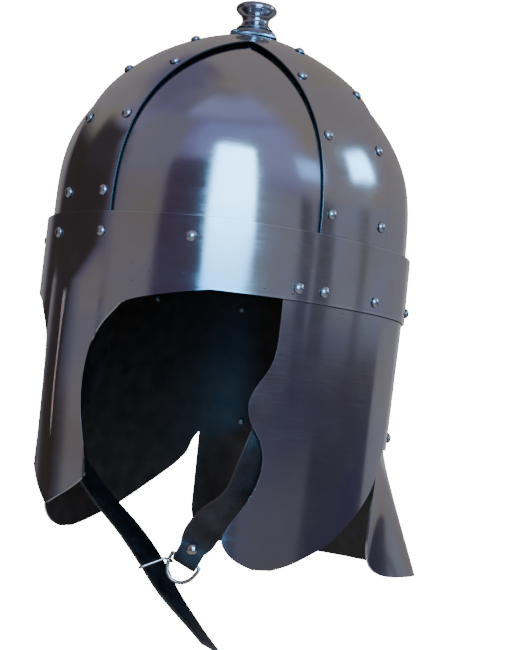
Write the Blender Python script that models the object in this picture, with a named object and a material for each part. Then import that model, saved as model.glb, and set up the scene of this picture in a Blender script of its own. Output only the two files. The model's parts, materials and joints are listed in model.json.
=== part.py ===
"""Nasal helmet: riveted cross-band dome, brow band with nasal, cheek and nape plate, neck guard, chin strap.

The front is -Y, the wearer's left is +X and up is +Z. The origin is the middle of the head hollow,
level with the lower edge of the brow band. Lengths are in metres, angles in degrees from the front.
"""

import math

import bmesh
import bpy
from mathutils import Vector

# Head outline and dome, measured to the outside of the infill plates
HALF_DEPTH = 0.114
HALF_WIDTH = 0.101
PLAN_POWER = 2.1
DOME_RISE = 0.1302
DOME_POWER_OUT = 1.55
DOME_POWER_UP = 2.60

# Sheet metal
SHEET = 0.0012
GAP = 0.0004
PLATE_FOOT = 0.0195
INFILL_DIP = 0.0013
INFILL_TUCK = 0.56
INFILL_TOP = 0.033
INFILL_BULGE_FRONT = 0.0040
INFILL_BULGE_REAR = 0.0022
INFILL_BULGE_CLIMBS = (0.10, 0.70)

# Four arms of the cross band, each wider towards the crown by its spread
BAND_HALF_FRONT = 0.0232
BAND_HALF_SIDE = 0.0283
BAND_SPREAD_FRONT = 0.0180
BAND_SPREAD_SIDE = 0.0090
SIDE_BAND_BACK = 2.5
CROWN_HOLE = 0.0072

# Brow band and nasal
BROW_HEIGHT = 0.0395
ARCH_HALF = 0.0780
NASAL_DROP = 0.1260
NASAL_HALF = 0.0248
RIDGE_RISE = 0.0042
RIDGE_HALF = 0.0215
RIDGE_START = 0.0240
NASAL_LEAN = 0.0030
NASAL_LEAN_START = 0.40

# Cheek and nape plate
SKIRT_TOP = 0.0160
CHEEK_DROP = 0.1500
CHEEK_FRONT = 68.5
CHEEK_REAR = 124.0
NAPE_DROP = 0.0790
SKIRT_TAPER = 0.0020

# Neck guard
GUARD_TOP = 0.0620
GUARD_DROP = 0.1570
GUARD_EDGE = 123.0
GUARD_FLARE = 0.0340
GUARD_CORNER = 0.0250
GUARD_SPREAD = 2.2

# Rivets
RIVET_HEAD = 0.0032
RIVET_RISE = 0.0023
RIVET_SHOULDER = (0.72, 0.68)
RIVET_SHANK = 0.0012
RIVET_PLAY = 0.00035
RIVET_STUB = 0.0006
RIVET_INSET = 0.0070
BAND_RIVET_RISES = (0.091, 0.441, 0.717)
BAND_TOP_RIVET_RISE = 0.897
BROW_RIVET_HEIGHT = 0.0280
BROW_RIVET_BAND = 0.0195
BROW_RIVET_INFILL = 40.6
SKIRT_RIVET_HEIGHT = 0.0070
SKIRT_RIVET_ANGLES = (72.6, 81.2, 102.5, 134.0)
STRAP_RIVET = 1
GUARD_RIVET_DROP = 0.0715
GUARD_RIVET_ANGLES = (138.0, 222.0)

# Finial; the flange is drawn in between its four rivets by FLANGE_WAIST
FLANGE = 0.0195
FLANGE_WAIST = 0.65
FLANGE_RIVETS = 0.0160
FLANGE_SHEET = 0.0012
KNOB_HALF = 0.0131
KNOB_HEIGHT = 0.0197
SPIGOT = 0.0055
SPIGOT_DEPTH = 0.0040

# Chin strap and buckle
STRAP_WIDTH = 0.0200
STRAP_END_WIDTH = 0.0150
STRAP_SHEET = 0.0020
STRAP_TOP = 0.0130
STRAP_DROP = 0.1520
BUCKLE_SIDE = 0.0430
BUCKLE_FRONT = 0.0470
BUCKLE_TURN = 47.0
BUCKLE_LEAN = 25.0
BUCKLE_WIRE = 0.0011
BUCKLE_BOW = 0.0135
BUCKLE_BOW_POWER = 0.8
FOLD_LENGTH = 0.0120
STUD_RISE = 0.0075
STUD_HEAD = 0.0034
PRONG_WIRE = 0.0008
PRONG_LENGTH = 0.0165
PRONG_AIM = (0.62, 0.75, 0.22)
PRONG_SEAT = 0.35
PRONG_HOOK_START = -200.0
PRONG_HOOK_END = 45.0
TAIL_TWIST = 44.0

# Layers, as growth outside the infill plates
BAND_IN = GAP
BAND_OUT = BAND_IN + SHEET
BROW_IN = BAND_OUT + GAP
BROW_OUT = BROW_IN + SHEET
SKIRT_OUT = BAND_OUT
FLANGE_IN = BAND_OUT + GAP

# Mesh density
BAND_COLUMNS = 5
DOME_ROWS = 14
INFILL_COLUMNS = 8
INFILL_ROWS = 9
FRONT_COLUMNS = 12
RING_COLUMNS = 48
LOBE_COLUMNS = 6
NAPE_COLUMNS = 20
GUARD_COLUMNS = 20
TURN_SIDES = 8
HOLE_SIDES = 6
CORNER_STEPS = 4
KNOB_SIDES = 16
SPLINE_STEPS = 3
FOLD_STEPS = 6
BOW_STEPS = 12
HOOK_STEPS = 7

# Nasal below the brow band: drop as a share of NASAL_DROP, half width as a share of NASAL_HALF
NASAL_ROWS = (
    (0.034, 2.46),
    (0.079, 1.66),
    (0.120, 1.41),
    (0.206, 1.04),
    (0.300, 0.85),
    (0.452, 0.77),
    (0.600, 0.82),
    (0.750, 0.945),
    (0.830, 1.00),
    (0.860, 0.98),
    (0.920, 0.66),
    (1.000, 0.04),
)

# Cheek plate: drop as a share of CHEEK_DROP, front edge of CHEEK_FRONT, rear edge of CHEEK_REAR
CHEEK_ROWS = (
    (0.000, 1.000, 1.000),
    (0.160, 1.000, 1.000),
    (0.240, 0.985, 1.000),
    (0.300, 0.950, 1.000),
    (0.350, 0.916, 1.000),
    (0.400, 0.901, 1.000),
    (0.460, 0.917, 1.000),
    (0.527, 0.968, 1.000),
    (0.580, 0.987, 0.976),
    (0.640, 0.988, 0.962),
    (0.700, 0.970, 0.930),
    (0.760, 0.937, 0.885),
    (0.820, 0.892, 0.835),
    (0.870, 0.858, 0.790),
    (0.910, 0.852, 0.748),
    (0.950, 0.884, 0.692),
    (0.980, 0.935, 0.645),
    (1.000, 1.000, 0.600),
)

# Knob: radius as a share of KNOB_HALF, height as a share of KNOB_HEIGHT
KNOB_ROWS = (
    (0.95, 0.050),
    (0.88, 0.110),
    (0.91, 0.150),
    (0.79, 0.230),
    (0.68, 0.330),
    (0.65, 0.430),
    (0.69, 0.530),
    (0.82, 0.640),
    (0.98, 0.740),
    (1.00, 0.800),
    (0.97, 0.880),
    (0.86, 0.950),
    (0.70, 0.985),
)

# Strap below the rivet, left and right: station as shares of HALF_WIDTH, HALF_DEPTH and STRAP_DROP
STRAP_WALL_ANGLES = (1.00, 0.97, 0.93, 0.86, 0.82)
STRAP_WALL_DROPS = (0.00, 0.20, 0.40, 0.52, 0.62)
LEFT_FALL = (
    (0.790, 0.390, 0.730),
    (0.610, 0.405, 0.830),
)
RIGHT_FALL = (
    (-0.760, 0.395, 0.690),
    (-0.450, 0.405, 0.820),
    (-0.100, 0.412, 0.940),
    (0.130, 0.415, 1.040),
    (0.300, 0.415, 1.130),
    (0.500, 0.408, 1.215),
    (0.690, 0.400, 1.290),
)

SIDE = math.radians(90.0)

# Middle angle, half width, spread and radius across it, for each arm of the cross band
FRONT_ARM = (BAND_HALF_FRONT, BAND_SPREAD_FRONT, HALF_WIDTH)
SIDE_ARM = (BAND_HALF_SIDE, BAND_SPREAD_SIDE, HALF_DEPTH)
BANDS = {
    "front": (0.0, *FRONT_ARM),
    "left": (SIDE + math.radians(SIDE_BAND_BACK), *SIDE_ARM),
    "rear": (2.0 * SIDE, *FRONT_ARM),
    "right": (3.0 * SIDE - math.radians(SIDE_BAND_BACK), *SIDE_ARM),
}

# Arms that each infill plate lies between
INFILLS = {
    "front_left": ("front", "left"),
    "rear_left": ("left", "rear"),
    "rear_right": ("rear", "right"),
    "front_right": ("right", "front"),
}


def smooth(value):
    """Ease from 0 to 1."""
    value = min(max(value, 0.0), 1.0)
    return value * value * (3.0 - 2.0 * value)


def plan_point(angle, grow, share=1.0):
    """Point of the head's plan outline, grown outwards, at a share of its size."""
    sine, cosine = math.sin(angle), math.cos(angle)
    reach = share * (abs(sine) ** PLAN_POWER + abs(cosine) ** PLAN_POWER) ** (-1.0 / PLAN_POWER)
    return (HALF_WIDTH + grow) * reach * sine, -(HALF_DEPTH + grow) * reach * cosine


def angle_across(offset, radius):
    """Plan angle away from a band's middle for a distance across it."""
    share = min(offset / radius, 0.999)
    return math.atan2(share, (1.0 - share ** PLAN_POWER) ** (1.0 / PLAN_POWER))


def crown_share(climb):
    """Share of the plan outline at a climb angle; below the dome the wall is upright."""
    return math.cos(max(climb, 0.0)) ** (2.0 / DOME_POWER_OUT)


def climb_of_rise(rise):
    """Climb angle at a share of the dome's rise."""
    return math.asin(rise ** (DOME_POWER_UP / 2.0))


def climb_of_radius(radius):
    """Climb angle where the dome's half width is the radius."""
    return math.acos((radius / HALF_WIDTH) ** (DOME_POWER_OUT / 2.0))


def climb_of_height(height):
    """Climb below the dome for a height on the upright wall."""
    return (height - BROW_HEIGHT) / DOME_RISE


def dome_point(angle, climb, grow):
    """Point of the dome, or of the upright wall under it where the climb is negative."""
    x, y = plan_point(angle, grow, crown_share(climb))
    if climb < 0.0:
        return Vector((x, y, BROW_HEIGHT + climb * DOME_RISE))
    return Vector((x, y, BROW_HEIGHT + (DOME_RISE + grow) * math.sin(climb) ** (2.0 / DOME_POWER_UP)))


def band_half(label, climb):
    """Half width of an arm of the cross band, growing towards the crown."""
    _, half, spread, _ = BANDS[label]
    return half + spread * (1.0 - crown_share(climb))


def skirt_grow(height):
    """Growth of the skirt's outside, which draws in below the brow band."""
    return SKIRT_OUT + SKIRT_TAPER * min(height, 0.0) / NAPE_DROP


def steel(name, colour, roughness, metallic=1.0):
    """Principled material of one colour."""
    material = bpy.data.materials.new(name)
    material.use_nodes = True
    shader = material.node_tree.nodes["Principled BSDF"]
    shader.inputs["Base Color"].default_value = (*colour, 1.0)
    shader.inputs["Roughness"].default_value = roughness
    shader.inputs["Metallic"].default_value = metallic
    return material


def add_object(name, mesh_data, material):
    """Object from a bmesh, smooth with sharp edges."""
    bmesh.ops.recalc_face_normals(mesh_data, faces=mesh_data.faces)
    mesh = bpy.data.meshes.new(name)
    mesh_data.to_mesh(mesh)
    mesh_data.free()
    mesh.materials.append(material)
    mesh.shade_smooth()
    mesh.set_sharp_from_angle(angle=math.radians(35.0))
    body = bpy.data.objects.new(name, mesh)
    bpy.context.scene.collection.objects.link(body)
    return body


def sheet(name, cells, place, material):
    """Closed plate: cells are quads of keys seen from outside, place gives a key's two points."""
    mesh = bmesh.new()
    keys = sorted({key for cell in cells for key in cell})
    outer = {key: mesh.verts.new(place(key, 0.0)) for key in keys}
    inner = {key: mesh.verts.new(place(key, SHEET)) for key in keys}
    edges = {(cell[i], cell[(i + 1) % 4]) for cell in cells for i in range(4)}
    for cell in cells:
        mesh.faces.new([outer[key] for key in cell])
        mesh.faces.new([inner[key] for key in reversed(cell)])
    for start, end in sorted(edges):
        if (end, start) not in edges:
            mesh.faces.new([outer[end], outer[start], inner[start], inner[end]])
    return add_object(name, mesh, material)


def grid_cells(rows, columns):
    """Quads of a full grid, rows running up and columns to the wearer's left."""
    return [
        ((i, j), (i, j + 1), (i + 1, j + 1), (i + 1, j))
        for i in range(rows)
        for j in range(columns)
    ]


def climb_rows(start, end, rows):
    """Climb angles from the plates' foot to their top, with a row on the dome's spring line."""
    return [start] + [end * i / (rows - 1) for i in range(rows)]


def band_edges(label, climb, share_of_half=1.0):
    """Plan angles of a band's two edges, or of a line at a share of its half width."""
    middle, _, _, radius = BANDS[label]
    turn = angle_across(share_of_half * band_half(label, climb), radius * crown_share(climb))
    return middle - turn, middle + turn


def make_cross_band(material):
    """Cross of four arms over the joints of the infill plates, one plate with a hole at the crown."""
    climbs = climb_rows(climb_of_height(PLATE_FOOT), climb_of_radius(CROWN_HOLE), DOME_ROWS)
    labels = list(BANDS)

    def vertex_key(label, row, column):
        """Key of an arm's own vertex, or of one on the seam it shares with the arm beside it."""
        if column in (0, BAND_COLUMNS):
            index = labels.index(label) - (column == 0)
            first, second = labels[index], labels[(index + 1) % len(labels)]
            high = band_edges(first, climbs[row])[1]
            low = band_edges(second, climbs[row])[0] + (4.0 * SIDE if second == labels[0] else 0.0)
            if high >= low:
                return ("seam", row, (high + low) / 2.0)
        return (label, row, column)

    def place(key, depth):
        label, row, column = key
        if label == "seam":
            return dome_point(column, climbs[row], BAND_OUT - depth)
        seams = [seam_angle(label, row, 0), seam_angle(label, row, BAND_COLUMNS)]
        angle = seams[0] + (seams[1] - seams[0]) * column / BAND_COLUMNS
        return dome_point(angle, climbs[row], BAND_OUT - depth)

    def seam_angle(label, row, column):
        """Plan angle of an arm's edge, held at the seam where it meets the arm beside it."""
        key = vertex_key(label, row, column)
        if key[0] != "seam":
            return band_edges(label, climbs[row])[column // BAND_COLUMNS]
        wraps = label == labels[0] and column == 0
        return key[2] - (4.0 * SIDE if wraps else 0.0)

    cells = [
        tuple(vertex_key(label, row, column) for row, column in corners)
        for label in labels
        for corners in grid_cells(DOME_ROWS, BAND_COLUMNS)
    ]
    return sheet("cross_band", cells, place, material)


def make_infill(name, start, end, material):
    """Infill plate, its two edges tucked under the bands at its start and end."""
    climbs = climb_rows(climb_of_height(PLATE_FOOT), climb_of_radius(INFILL_TOP), INFILL_ROWS)
    full, end_bulge = INFILL_BULGE_CLIMBS
    height = INFILL_BULGE_FRONT if name.startswith("front") else INFILL_BULGE_REAR

    def place(key, depth):
        climb = climbs[key[0]]
        bulge = smooth(climb / full) * smooth((end_bulge - climb) / (end_bulge - full))
        bulge *= height * math.sin(2.0 * SIDE * key[1] / INFILL_COLUMNS) ** 2
        low = band_edges(start, climb, INFILL_TUCK)[1]
        high = band_edges(end, climb, INFILL_TUCK)[0]
        if high < low:
            high += 4.0 * SIDE
        angle = low + (high - low) * key[1] / INFILL_COLUMNS
        return dome_point(angle, climb, bulge - INFILL_DIP * smooth(climb / climbs[-1]) - depth)

    return sheet(f"infill_{name}", grid_cells(INFILL_ROWS, INFILL_COLUMNS), place, material)


def nasal_offset(x, height):
    """How far the nasal's face stands in front of the head outline."""
    ridge = RIDGE_RISE * smooth((RIDGE_START - height) / RIDGE_START)
    lean_start = NASAL_LEAN_START * NASAL_DROP
    lean = NASAL_LEAN * smooth((-height - lean_start) / (NASAL_DROP - lean_start))
    return ridge * max(0.0, 1.0 - abs(x) / RIDGE_HALF) - lean


def make_brow_band(material):
    """Brow band and nasal, cut from one plate."""
    heights = [BROW_HEIGHT, BROW_HEIGHT / 2.0, 0.0]
    halves = [ARCH_HALF] * len(heights)
    for drop, half in NASAL_ROWS:
        heights.append(-drop * NASAL_DROP)
        halves.append(half * NASAL_HALF)
    ring_end = angle_across(ARCH_HALF, HALF_WIDTH + BROW_OUT)

    def place(key, depth):
        row, column = key
        height = heights[row]
        if column <= FRONT_COLUMNS:
            across = 2.0 * column / FRONT_COLUMNS - 1.0
            angle = across * angle_across(halves[row], HALF_WIDTH + BROW_OUT)
            x, y = plan_point(angle, BROW_OUT - depth)
            return Vector((x, y - nasal_offset(x, height), height))
        around = (column - FRONT_COLUMNS) / RING_COLUMNS
        x, y = plan_point(ring_end + (4.0 * SIDE - 2.0 * ring_end) * around, BROW_OUT - depth)
        return Vector((x, y, height))

    around = FRONT_COLUMNS + RING_COLUMNS
    cells = []
    for row in range(len(heights) - 1):
        columns = around if heights[row + 1] >= 0.0 else FRONT_COLUMNS
        for column in range(columns):
            after = (column + 1) % around
            cells.append(((row + 1, column), (row + 1, after), (row, after), (row, column)))
    return sheet("brow_band_and_nasal", cells, place, material)


def make_skirt(material):
    """Cheek and nape plate, one sheet from cheek to cheek round the back."""
    heights = [SKIRT_TOP] + [-row[0] * CHEEK_DROP for row in CHEEK_ROWS]
    fronts = [CHEEK_FRONT] + [row[1] * CHEEK_FRONT for row in CHEEK_ROWS]
    rears = [CHEEK_REAR] + [row[2] * CHEEK_REAR for row in CHEEK_ROWS]
    last = 2 * LOBE_COLUMNS + NAPE_COLUMNS

    def place(key, depth):
        row, column = key
        rear = rears[row]
        if column <= LOBE_COLUMNS:
            angle = fronts[row] + (rear - fronts[row]) * column / LOBE_COLUMNS
        elif column >= last - LOBE_COLUMNS:
            angle = 360.0 - fronts[row] - (rear - fronts[row]) * (last - column) / LOBE_COLUMNS
        else:
            angle = rear + (360.0 - 2.0 * rear) * (column - LOBE_COLUMNS) / NAPE_COLUMNS
        grow = skirt_grow(heights[row]) - depth
        return Vector((*plan_point(math.radians(angle), grow), heights[row]))

    cells = []
    for row in range(len(heights) - 1):
        whole = rears[row + 1] >= CHEEK_REAR
        for column in range(last):
            if whole or column < LOBE_COLUMNS or column >= last - LOBE_COLUMNS:
                cells.append(((row + 1, column), (row + 1, column + 1), (row, column + 1), (row, column)))
    return sheet("cheek_and_nape_plate", cells, place, material)


def guard_point(angle, height, depth):
    """Point of the neck guard, inside the skirt at its top and flared to the rear below it."""
    grow = skirt_grow(height) - SHEET - GAP - depth
    x, y = plan_point(angle, grow)
    fall = max(0.0, -height - NAPE_DROP) / (GUARD_DROP - NAPE_DROP)
    edge = math.radians(GUARD_EDGE)
    inward = 1.0 - abs(angle - 2.0 * SIDE) / (2.0 * SIDE - edge)
    flare = GUARD_FLARE * fall * smooth(inward * GUARD_SPREAD)
    return Vector((x + flare * math.sin(angle), y - flare * math.cos(angle), height))


def make_neck_guard(material):
    """Flared guard under the nape, riveted inside the skirt."""
    drops = [GUARD_TOP, NAPE_DROP - GAP, (NAPE_DROP + GUARD_DROP - GUARD_CORNER) / 2.0]
    insets = [0.0] * len(drops)
    for step in range(CORNER_STEPS + 1):
        turn = SIDE * step / CORNER_STEPS
        drops.append(GUARD_DROP - GUARD_CORNER * (1.0 - math.sin(turn)))
        insets.append(GUARD_CORNER * (1.0 - math.cos(turn)))

    def place(key, depth):
        edge = math.radians(GUARD_EDGE) + insets[key[0]] / HALF_DEPTH
        angle = edge + (4.0 * SIDE - 2.0 * edge) * key[1] / GUARD_COLUMNS
        return guard_point(angle, -drops[key[0]], depth)

    cells = [
        ((i + 1, j), (i + 1, j + 1), (i, j + 1), (i, j))
        for i in range(len(drops) - 1)
        for j in range(GUARD_COLUMNS)
    ]
    return sheet("neck_guard", cells, place, material)


def turned(name, profile, sides, material, seat=None, axis=None):
    """Turned solid from radius and height pairs, bottom to top, both ends on the axis."""
    mesh = bmesh.new()
    rings = []
    for radius, height in profile:
        if radius == 0.0:
            rings.append([mesh.verts.new((0.0, 0.0, height))] * sides)
            continue
        turns = [4.0 * SIDE * i / sides for i in range(sides)]
        rings.append([mesh.verts.new((radius * math.cos(t), radius * math.sin(t), height)) for t in turns])
    for low, high in zip(rings, rings[1:]):
        for i in range(sides):
            after = (i + 1) % sides
            corners = []
            for vertex in (low[i], low[after], high[after], high[i]):
                if vertex not in corners:
                    corners.append(vertex)
            mesh.faces.new(corners)
    if seat is not None:
        turn = Vector((0.0, 0.0, 1.0)).rotation_difference(axis).to_matrix().to_4x4()
        turn.translation = seat
        mesh.transform(turn)
    return add_object(name, mesh, material)


def surface_frame(point_at, angle, climb):
    """Point on a curved surface and its outward normal, from small steps along it."""
    step = 1e-4
    point = point_at(angle, climb)
    along = point_at(angle + step, climb) - point_at(angle - step, climb)
    up = point_at(angle, climb + step) - point_at(angle, climb - step)
    return point, along.cross(up).normalized()


def rivet_places():
    """Name, seat, axis and grip of every plate rivet, and the plates it goes through."""
    places = []

    def add(name, point_at, angle, climb, grip, plates):
        seat, axis = surface_frame(point_at, angle, climb)
        places.append((name, seat, axis, grip, plates))

    def band_face(angle, climb):
        return dome_point(angle, climb, BAND_OUT)

    band_top = climb_of_radius(INFILL_TOP)
    for label, (middle, *_) in BANDS.items():
        before = next(name for name, ends in INFILLS.items() if ends[1] == label)
        after = next(name for name, ends in INFILLS.items() if ends[0] == label)
        for level, rise in enumerate(BAND_RIVET_RISES, start=1):
            climb = climb_of_rise(rise)
            edges = band_edges(label, climb, 1.0 - RIVET_INSET / band_half(label, climb))
            grip = BAND_OUT + INFILL_DIP * smooth(climb / band_top) + SHEET
            for hand, angle, infill in zip("ab", edges, (before, after)):
                plates = ("cross_band", f"infill_{infill}")
                add(f"rivet_{label}_band_{level}{hand}", band_face, angle, climb, grip, plates)
        climb = climb_of_rise(BAND_TOP_RIVET_RISE)
        add(f"rivet_{label}_band_4", band_face, middle, climb, SHEET, ("cross_band",))

    def brow_face(angle, climb):
        x, y = plan_point(angle, BROW_OUT)
        height = BROW_HEIGHT + climb * DOME_RISE
        return Vector((x, y - nasal_offset(x, height), height))

    level = climb_of_height(BROW_RIVET_HEIGHT)
    band_turn = angle_across(BROW_RIVET_BAND, HALF_WIDTH)
    turns = (-math.radians(BROW_RIVET_INFILL), -band_turn, band_turn, math.radians(BROW_RIVET_INFILL))
    for index, turn in enumerate(turns, start=1):
        plates = ("brow_band_and_nasal", f"infill_front_{'left' if turn > 0.0 else 'right'}")
        if abs(turn) == band_turn:
            plates += ("cross_band",)
        add(f"rivet_brow_{index}", brow_face, turn, level, BROW_OUT + SHEET, plates)

    level = climb_of_height(SKIRT_RIVET_HEIGHT)
    for index, degrees in enumerate(SKIRT_RIVET_ANGLES):
        for hand, sign in (("left", 1.0), ("right", -1.0)):
            name = f"rivet_skirt_{hand}_{index + 1}"
            grip = BROW_OUT - SKIRT_OUT + SHEET
            plates = ("brow_band_and_nasal", "cheek_and_nape_plate")
            if index == STRAP_RIVET:
                grip += GAP + STRAP_SHEET
                plates += (f"chin_strap_{hand}",)
            add(name, brow_face, sign * math.radians(degrees), level, grip, plates)

    def skirt_face(angle, climb):
        height = BROW_HEIGHT + climb * DOME_RISE
        return Vector((*plan_point(angle, skirt_grow(height)), height))

    level = climb_of_height(-GUARD_RIVET_DROP)
    plates = ("cheek_and_nape_plate", "neck_guard")
    for index, degrees in enumerate(GUARD_RIVET_ANGLES, start=1):
        name = f"rivet_neck_guard_{index}"
        add(name, skirt_face, math.radians(degrees), level, 2.0 * SHEET + GAP, plates)
    return places


def flange_height(radius, grow):
    """Height of the dome round the crown, where it is highest for a radius."""
    share = radius / (HALF_DEPTH + grow)
    climb = math.acos(share ** (DOME_POWER_OUT / 2.0))
    return BROW_HEIGHT + (DOME_RISE + grow) * math.sin(climb) ** (2.0 / DOME_POWER_UP)


def finial_rivets():
    """Name, seat, axis, grip and plates of the rivets through the finial's flange."""
    places = []
    for index in range(len(BANDS)):
        angle = index * SIDE
        out = Vector((math.sin(angle), -math.cos(angle), 0.0))
        top = FLANGE_IN + FLANGE_SHEET
        slope = (flange_height(FLANGE_RIVETS, top) - flange_height(FLANGE, top)) / (FLANGE - FLANGE_RIVETS)
        seat = out * FLANGE_RIVETS + Vector((0.0, 0.0, flange_height(FLANGE_RIVETS, top)))
        axis = (out * slope + Vector((0.0, 0.0, 1.0))).normalized()
        plates = ("cross_band", "finial_knob")
        places.append((f"rivet_finial_{index + 1}", seat, axis, FLANGE_SHEET + GAP + SHEET, plates))
    return places


def make_finial(material):
    """Turned knob on a four-cornered flange over the crown, with a spigot through the bands."""
    top = FLANGE_IN + FLANGE_SHEET
    base = flange_height(0.0, top)
    ring = [FLANGE * share for share in (0.5, 0.8, 1.0)]
    profile = [(0.0, base - SPIGOT_DEPTH), (SPIGOT, base - SPIGOT_DEPTH)]
    profile.append((SPIGOT, flange_height(SPIGOT, FLANGE_IN)))
    profile += [(radius, flange_height(radius, FLANGE_IN)) for radius in ring]
    foot = KNOB_HALF * KNOB_ROWS[0][0]
    profile += [(radius, flange_height(radius, top)) for radius in (FLANGE, 0.8 * FLANGE, foot)]
    profile += [(KNOB_HALF * share, base + KNOB_HEIGHT * rise) for share, rise in KNOB_ROWS]
    profile.append((0.0, base + KNOB_HEIGHT))
    knob = turned("finial_knob", profile, KNOB_SIDES, material)
    for vertex in knob.data.vertices:
        radius = math.hypot(vertex.co.x, vertex.co.y)
        if vertex.co.z < base and radius > foot:
            turn = math.atan2(vertex.co.y, vertex.co.x)
            reach = foot + (radius - foot) * (1.0 - FLANGE_WAIST * abs(math.sin(2.0 * turn)))
            vertex.co.z += flange_height(reach, top) - flange_height(radius, top)
            vertex.co.x *= reach / radius
            vertex.co.y *= reach / radius
    return knob


def make_rivet(name, seat, axis, grip, head, material):
    """Round-headed rivet: head on the seat, shank through the sheets it grips."""
    end = -(grip + RIVET_STUB)
    profile = [
        (0.0, end),
        (RIVET_SHANK, end),
        (RIVET_SHANK, GAP),
        (head, GAP),
        (head * RIVET_SHOULDER[0], GAP + RIVET_RISE * RIVET_SHOULDER[1]),
        (0.0, GAP + RIVET_RISE),
    ]
    return turned(name, profile, TURN_SIDES, material, seat, axis)


def make_hole_cutter(name, seat, axis, grip, material):
    """Drill for a rivet's shank, longer than the sheets are thick."""
    reach = (RIVET_SHANK + RIVET_PLAY) / math.cos(2.0 * SIDE / HOLE_SIDES)
    depth = grip + 2.0 * RIVET_STUB
    profile = [(0.0, -depth), (reach, -depth), (reach, RIVET_STUB), (0.0, RIVET_STUB)]
    cutter = turned(name, profile, HOLE_SIDES, material, seat, axis)
    cutter.hide_render = True
    cutter.display_type = "WIRE"
    return cutter


def drill(plate, cutter):
    """Cut a rivet's hole out of a plate."""
    hole = plate.modifiers.new(cutter.name, "BOOLEAN")
    hole.operation = "DIFFERENCE"
    hole.solver = "EXACT"
    hole.object = cutter


def ribbon(name, stations, material):
    """Leather strip swept along stations of centre, width direction and width."""
    mesh = bmesh.new()
    centres = [station[0] for station in stations]
    sections = []
    for index, (centre, across, width) in enumerate(stations):
        ahead = centres[min(index + 1, len(centres) - 1)]
        behind = centres[max(index - 1, 0)]
        tangent = (ahead - behind).normalized()
        across = (across - tangent * across.dot(tangent)).normalized() * (width / 2.0)
        face = tangent.cross(across).normalized() * (STRAP_SHEET / 2.0)
        corners = (across + face, across - face, -across - face, -across + face)
        sections.append([mesh.verts.new(centre + corner) for corner in corners])
    for start, end in zip(sections, sections[1:]):
        for i in range(4):
            after = (i + 1) % 4
            mesh.faces.new((start[i], start[after], end[after], end[i]))
    mesh.faces.new(reversed(sections[0]))
    mesh.faces.new(sections[-1])
    return add_object(name, mesh, material)


def spline(points, steps):
    """Smooth run through points of equal length, with a number of steps between each two."""
    padded = [points[0] * 2.0 - points[1]] + points + [points[-1] * 2.0 - points[-2]]
    run = []
    for before, start, end, after in zip(padded, padded[1:], padded[2:], padded[3:]):
        for step in range(steps):
            t = step / steps
            run.append(
                0.5 * (
                    2.0 * start
                    + (end - before) * t
                    + (2.0 * before - 5.0 * start + 4.0 * end - after) * t * t
                    + (3.0 * start - before - 3.0 * end + after) * t * t * t
                )
            )
    run.append(points[-1])
    return run


def strap_wall(side):
    """Upper stretch of a strap, flat on the inside of the cheek plate."""
    hollow = STRAP_WIDTH ** 2 / (8.0 * HALF_WIDTH)
    centres = []
    for turn, drop in zip(STRAP_WALL_ANGLES, STRAP_WALL_DROPS):
        angle = side * math.radians(SKIRT_RIVET_ANGLES[STRAP_RIVET] * turn)
        height = STRAP_TOP - (STRAP_TOP + STRAP_DROP) * drop
        grow = skirt_grow(height) - SHEET - 3.0 * GAP - hollow - STRAP_SHEET / 2.0
        centres.append(Vector((*plan_point(angle, grow), height)))
    return centres


def wall_across(centre, side):
    """Level direction along the head's outline towards the front, at a point beside the head."""
    normal = Vector((centre.x / HALF_WIDTH ** 2, centre.y / HALF_DEPTH ** 2, 0.0)).normalized()
    return Vector((normal.y, -normal.x, 0.0)) * side


def fall_point(row):
    """Strap station from its shares of the head's half width, half depth and the strap's drop."""
    return Vector((row[0] * HALF_WIDTH, -row[1] * HALF_DEPTH, -row[2] * STRAP_DROP))


def buckle_frame():
    """Middle of the buckle's bar, with the directions along the bar, down and out of its face."""
    turn, lean = math.radians(BUCKLE_TURN), math.radians(BUCKLE_LEAN)
    level = Vector((-math.sin(turn), -math.cos(turn), 0.0))
    upright = Vector((0.0, 0.0, 1.0))
    along = level * math.cos(lean) + upright * math.sin(lean)
    down = level * math.sin(lean) - upright * math.cos(lean)
    return Vector((BUCKLE_SIDE, -BUCKLE_FRONT, -STRAP_DROP)), along, down, along.cross(down)


def make_left_strap(material):
    """Buckle side: from the rivet down the cheek, round the buckle's bar and back up to the stud."""
    bar, along, down, out = buckle_frame()
    fold = BUCKLE_WIRE + GAP + STRAP_SHEET / 2.0
    wall = strap_wall(1.0)
    fall = [fall_point(row) for row in LEFT_FALL]
    fall += [bar + out * fold - down * (FOLD_LENGTH * share) for share in (1.1, 0.5)]
    stations = []
    for index, centre in enumerate(spline(wall + fall, SPLINE_STEPS)):
        free = (index / SPLINE_STEPS - len(wall) + 1.0) / len(fall)
        direction = wall_across(centre, 1.0).lerp(along, smooth(free))
        narrow = smooth(3.0 * free - 2.0)
        stations.append((centre, direction, STRAP_WIDTH + (STRAP_END_WIDTH - STRAP_WIDTH) * narrow))
    for step in range(FOLD_STEPS + 1):
        turn = 2.0 * SIDE * step / FOLD_STEPS
        centre = bar + out * (fold * math.cos(turn)) + down * (fold * math.sin(turn))
        stations.append((centre, along, STRAP_END_WIDTH))
    back = fold - (STRAP_SHEET + 2.0 * GAP)
    for share in (0.5, 1.0):
        depth = -fold + (back + fold) * share
        stations.append((bar + out * depth - down * (FOLD_LENGTH * share), along, STRAP_END_WIDTH))
    return ribbon("chin_strap_left", stations, material)


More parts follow.
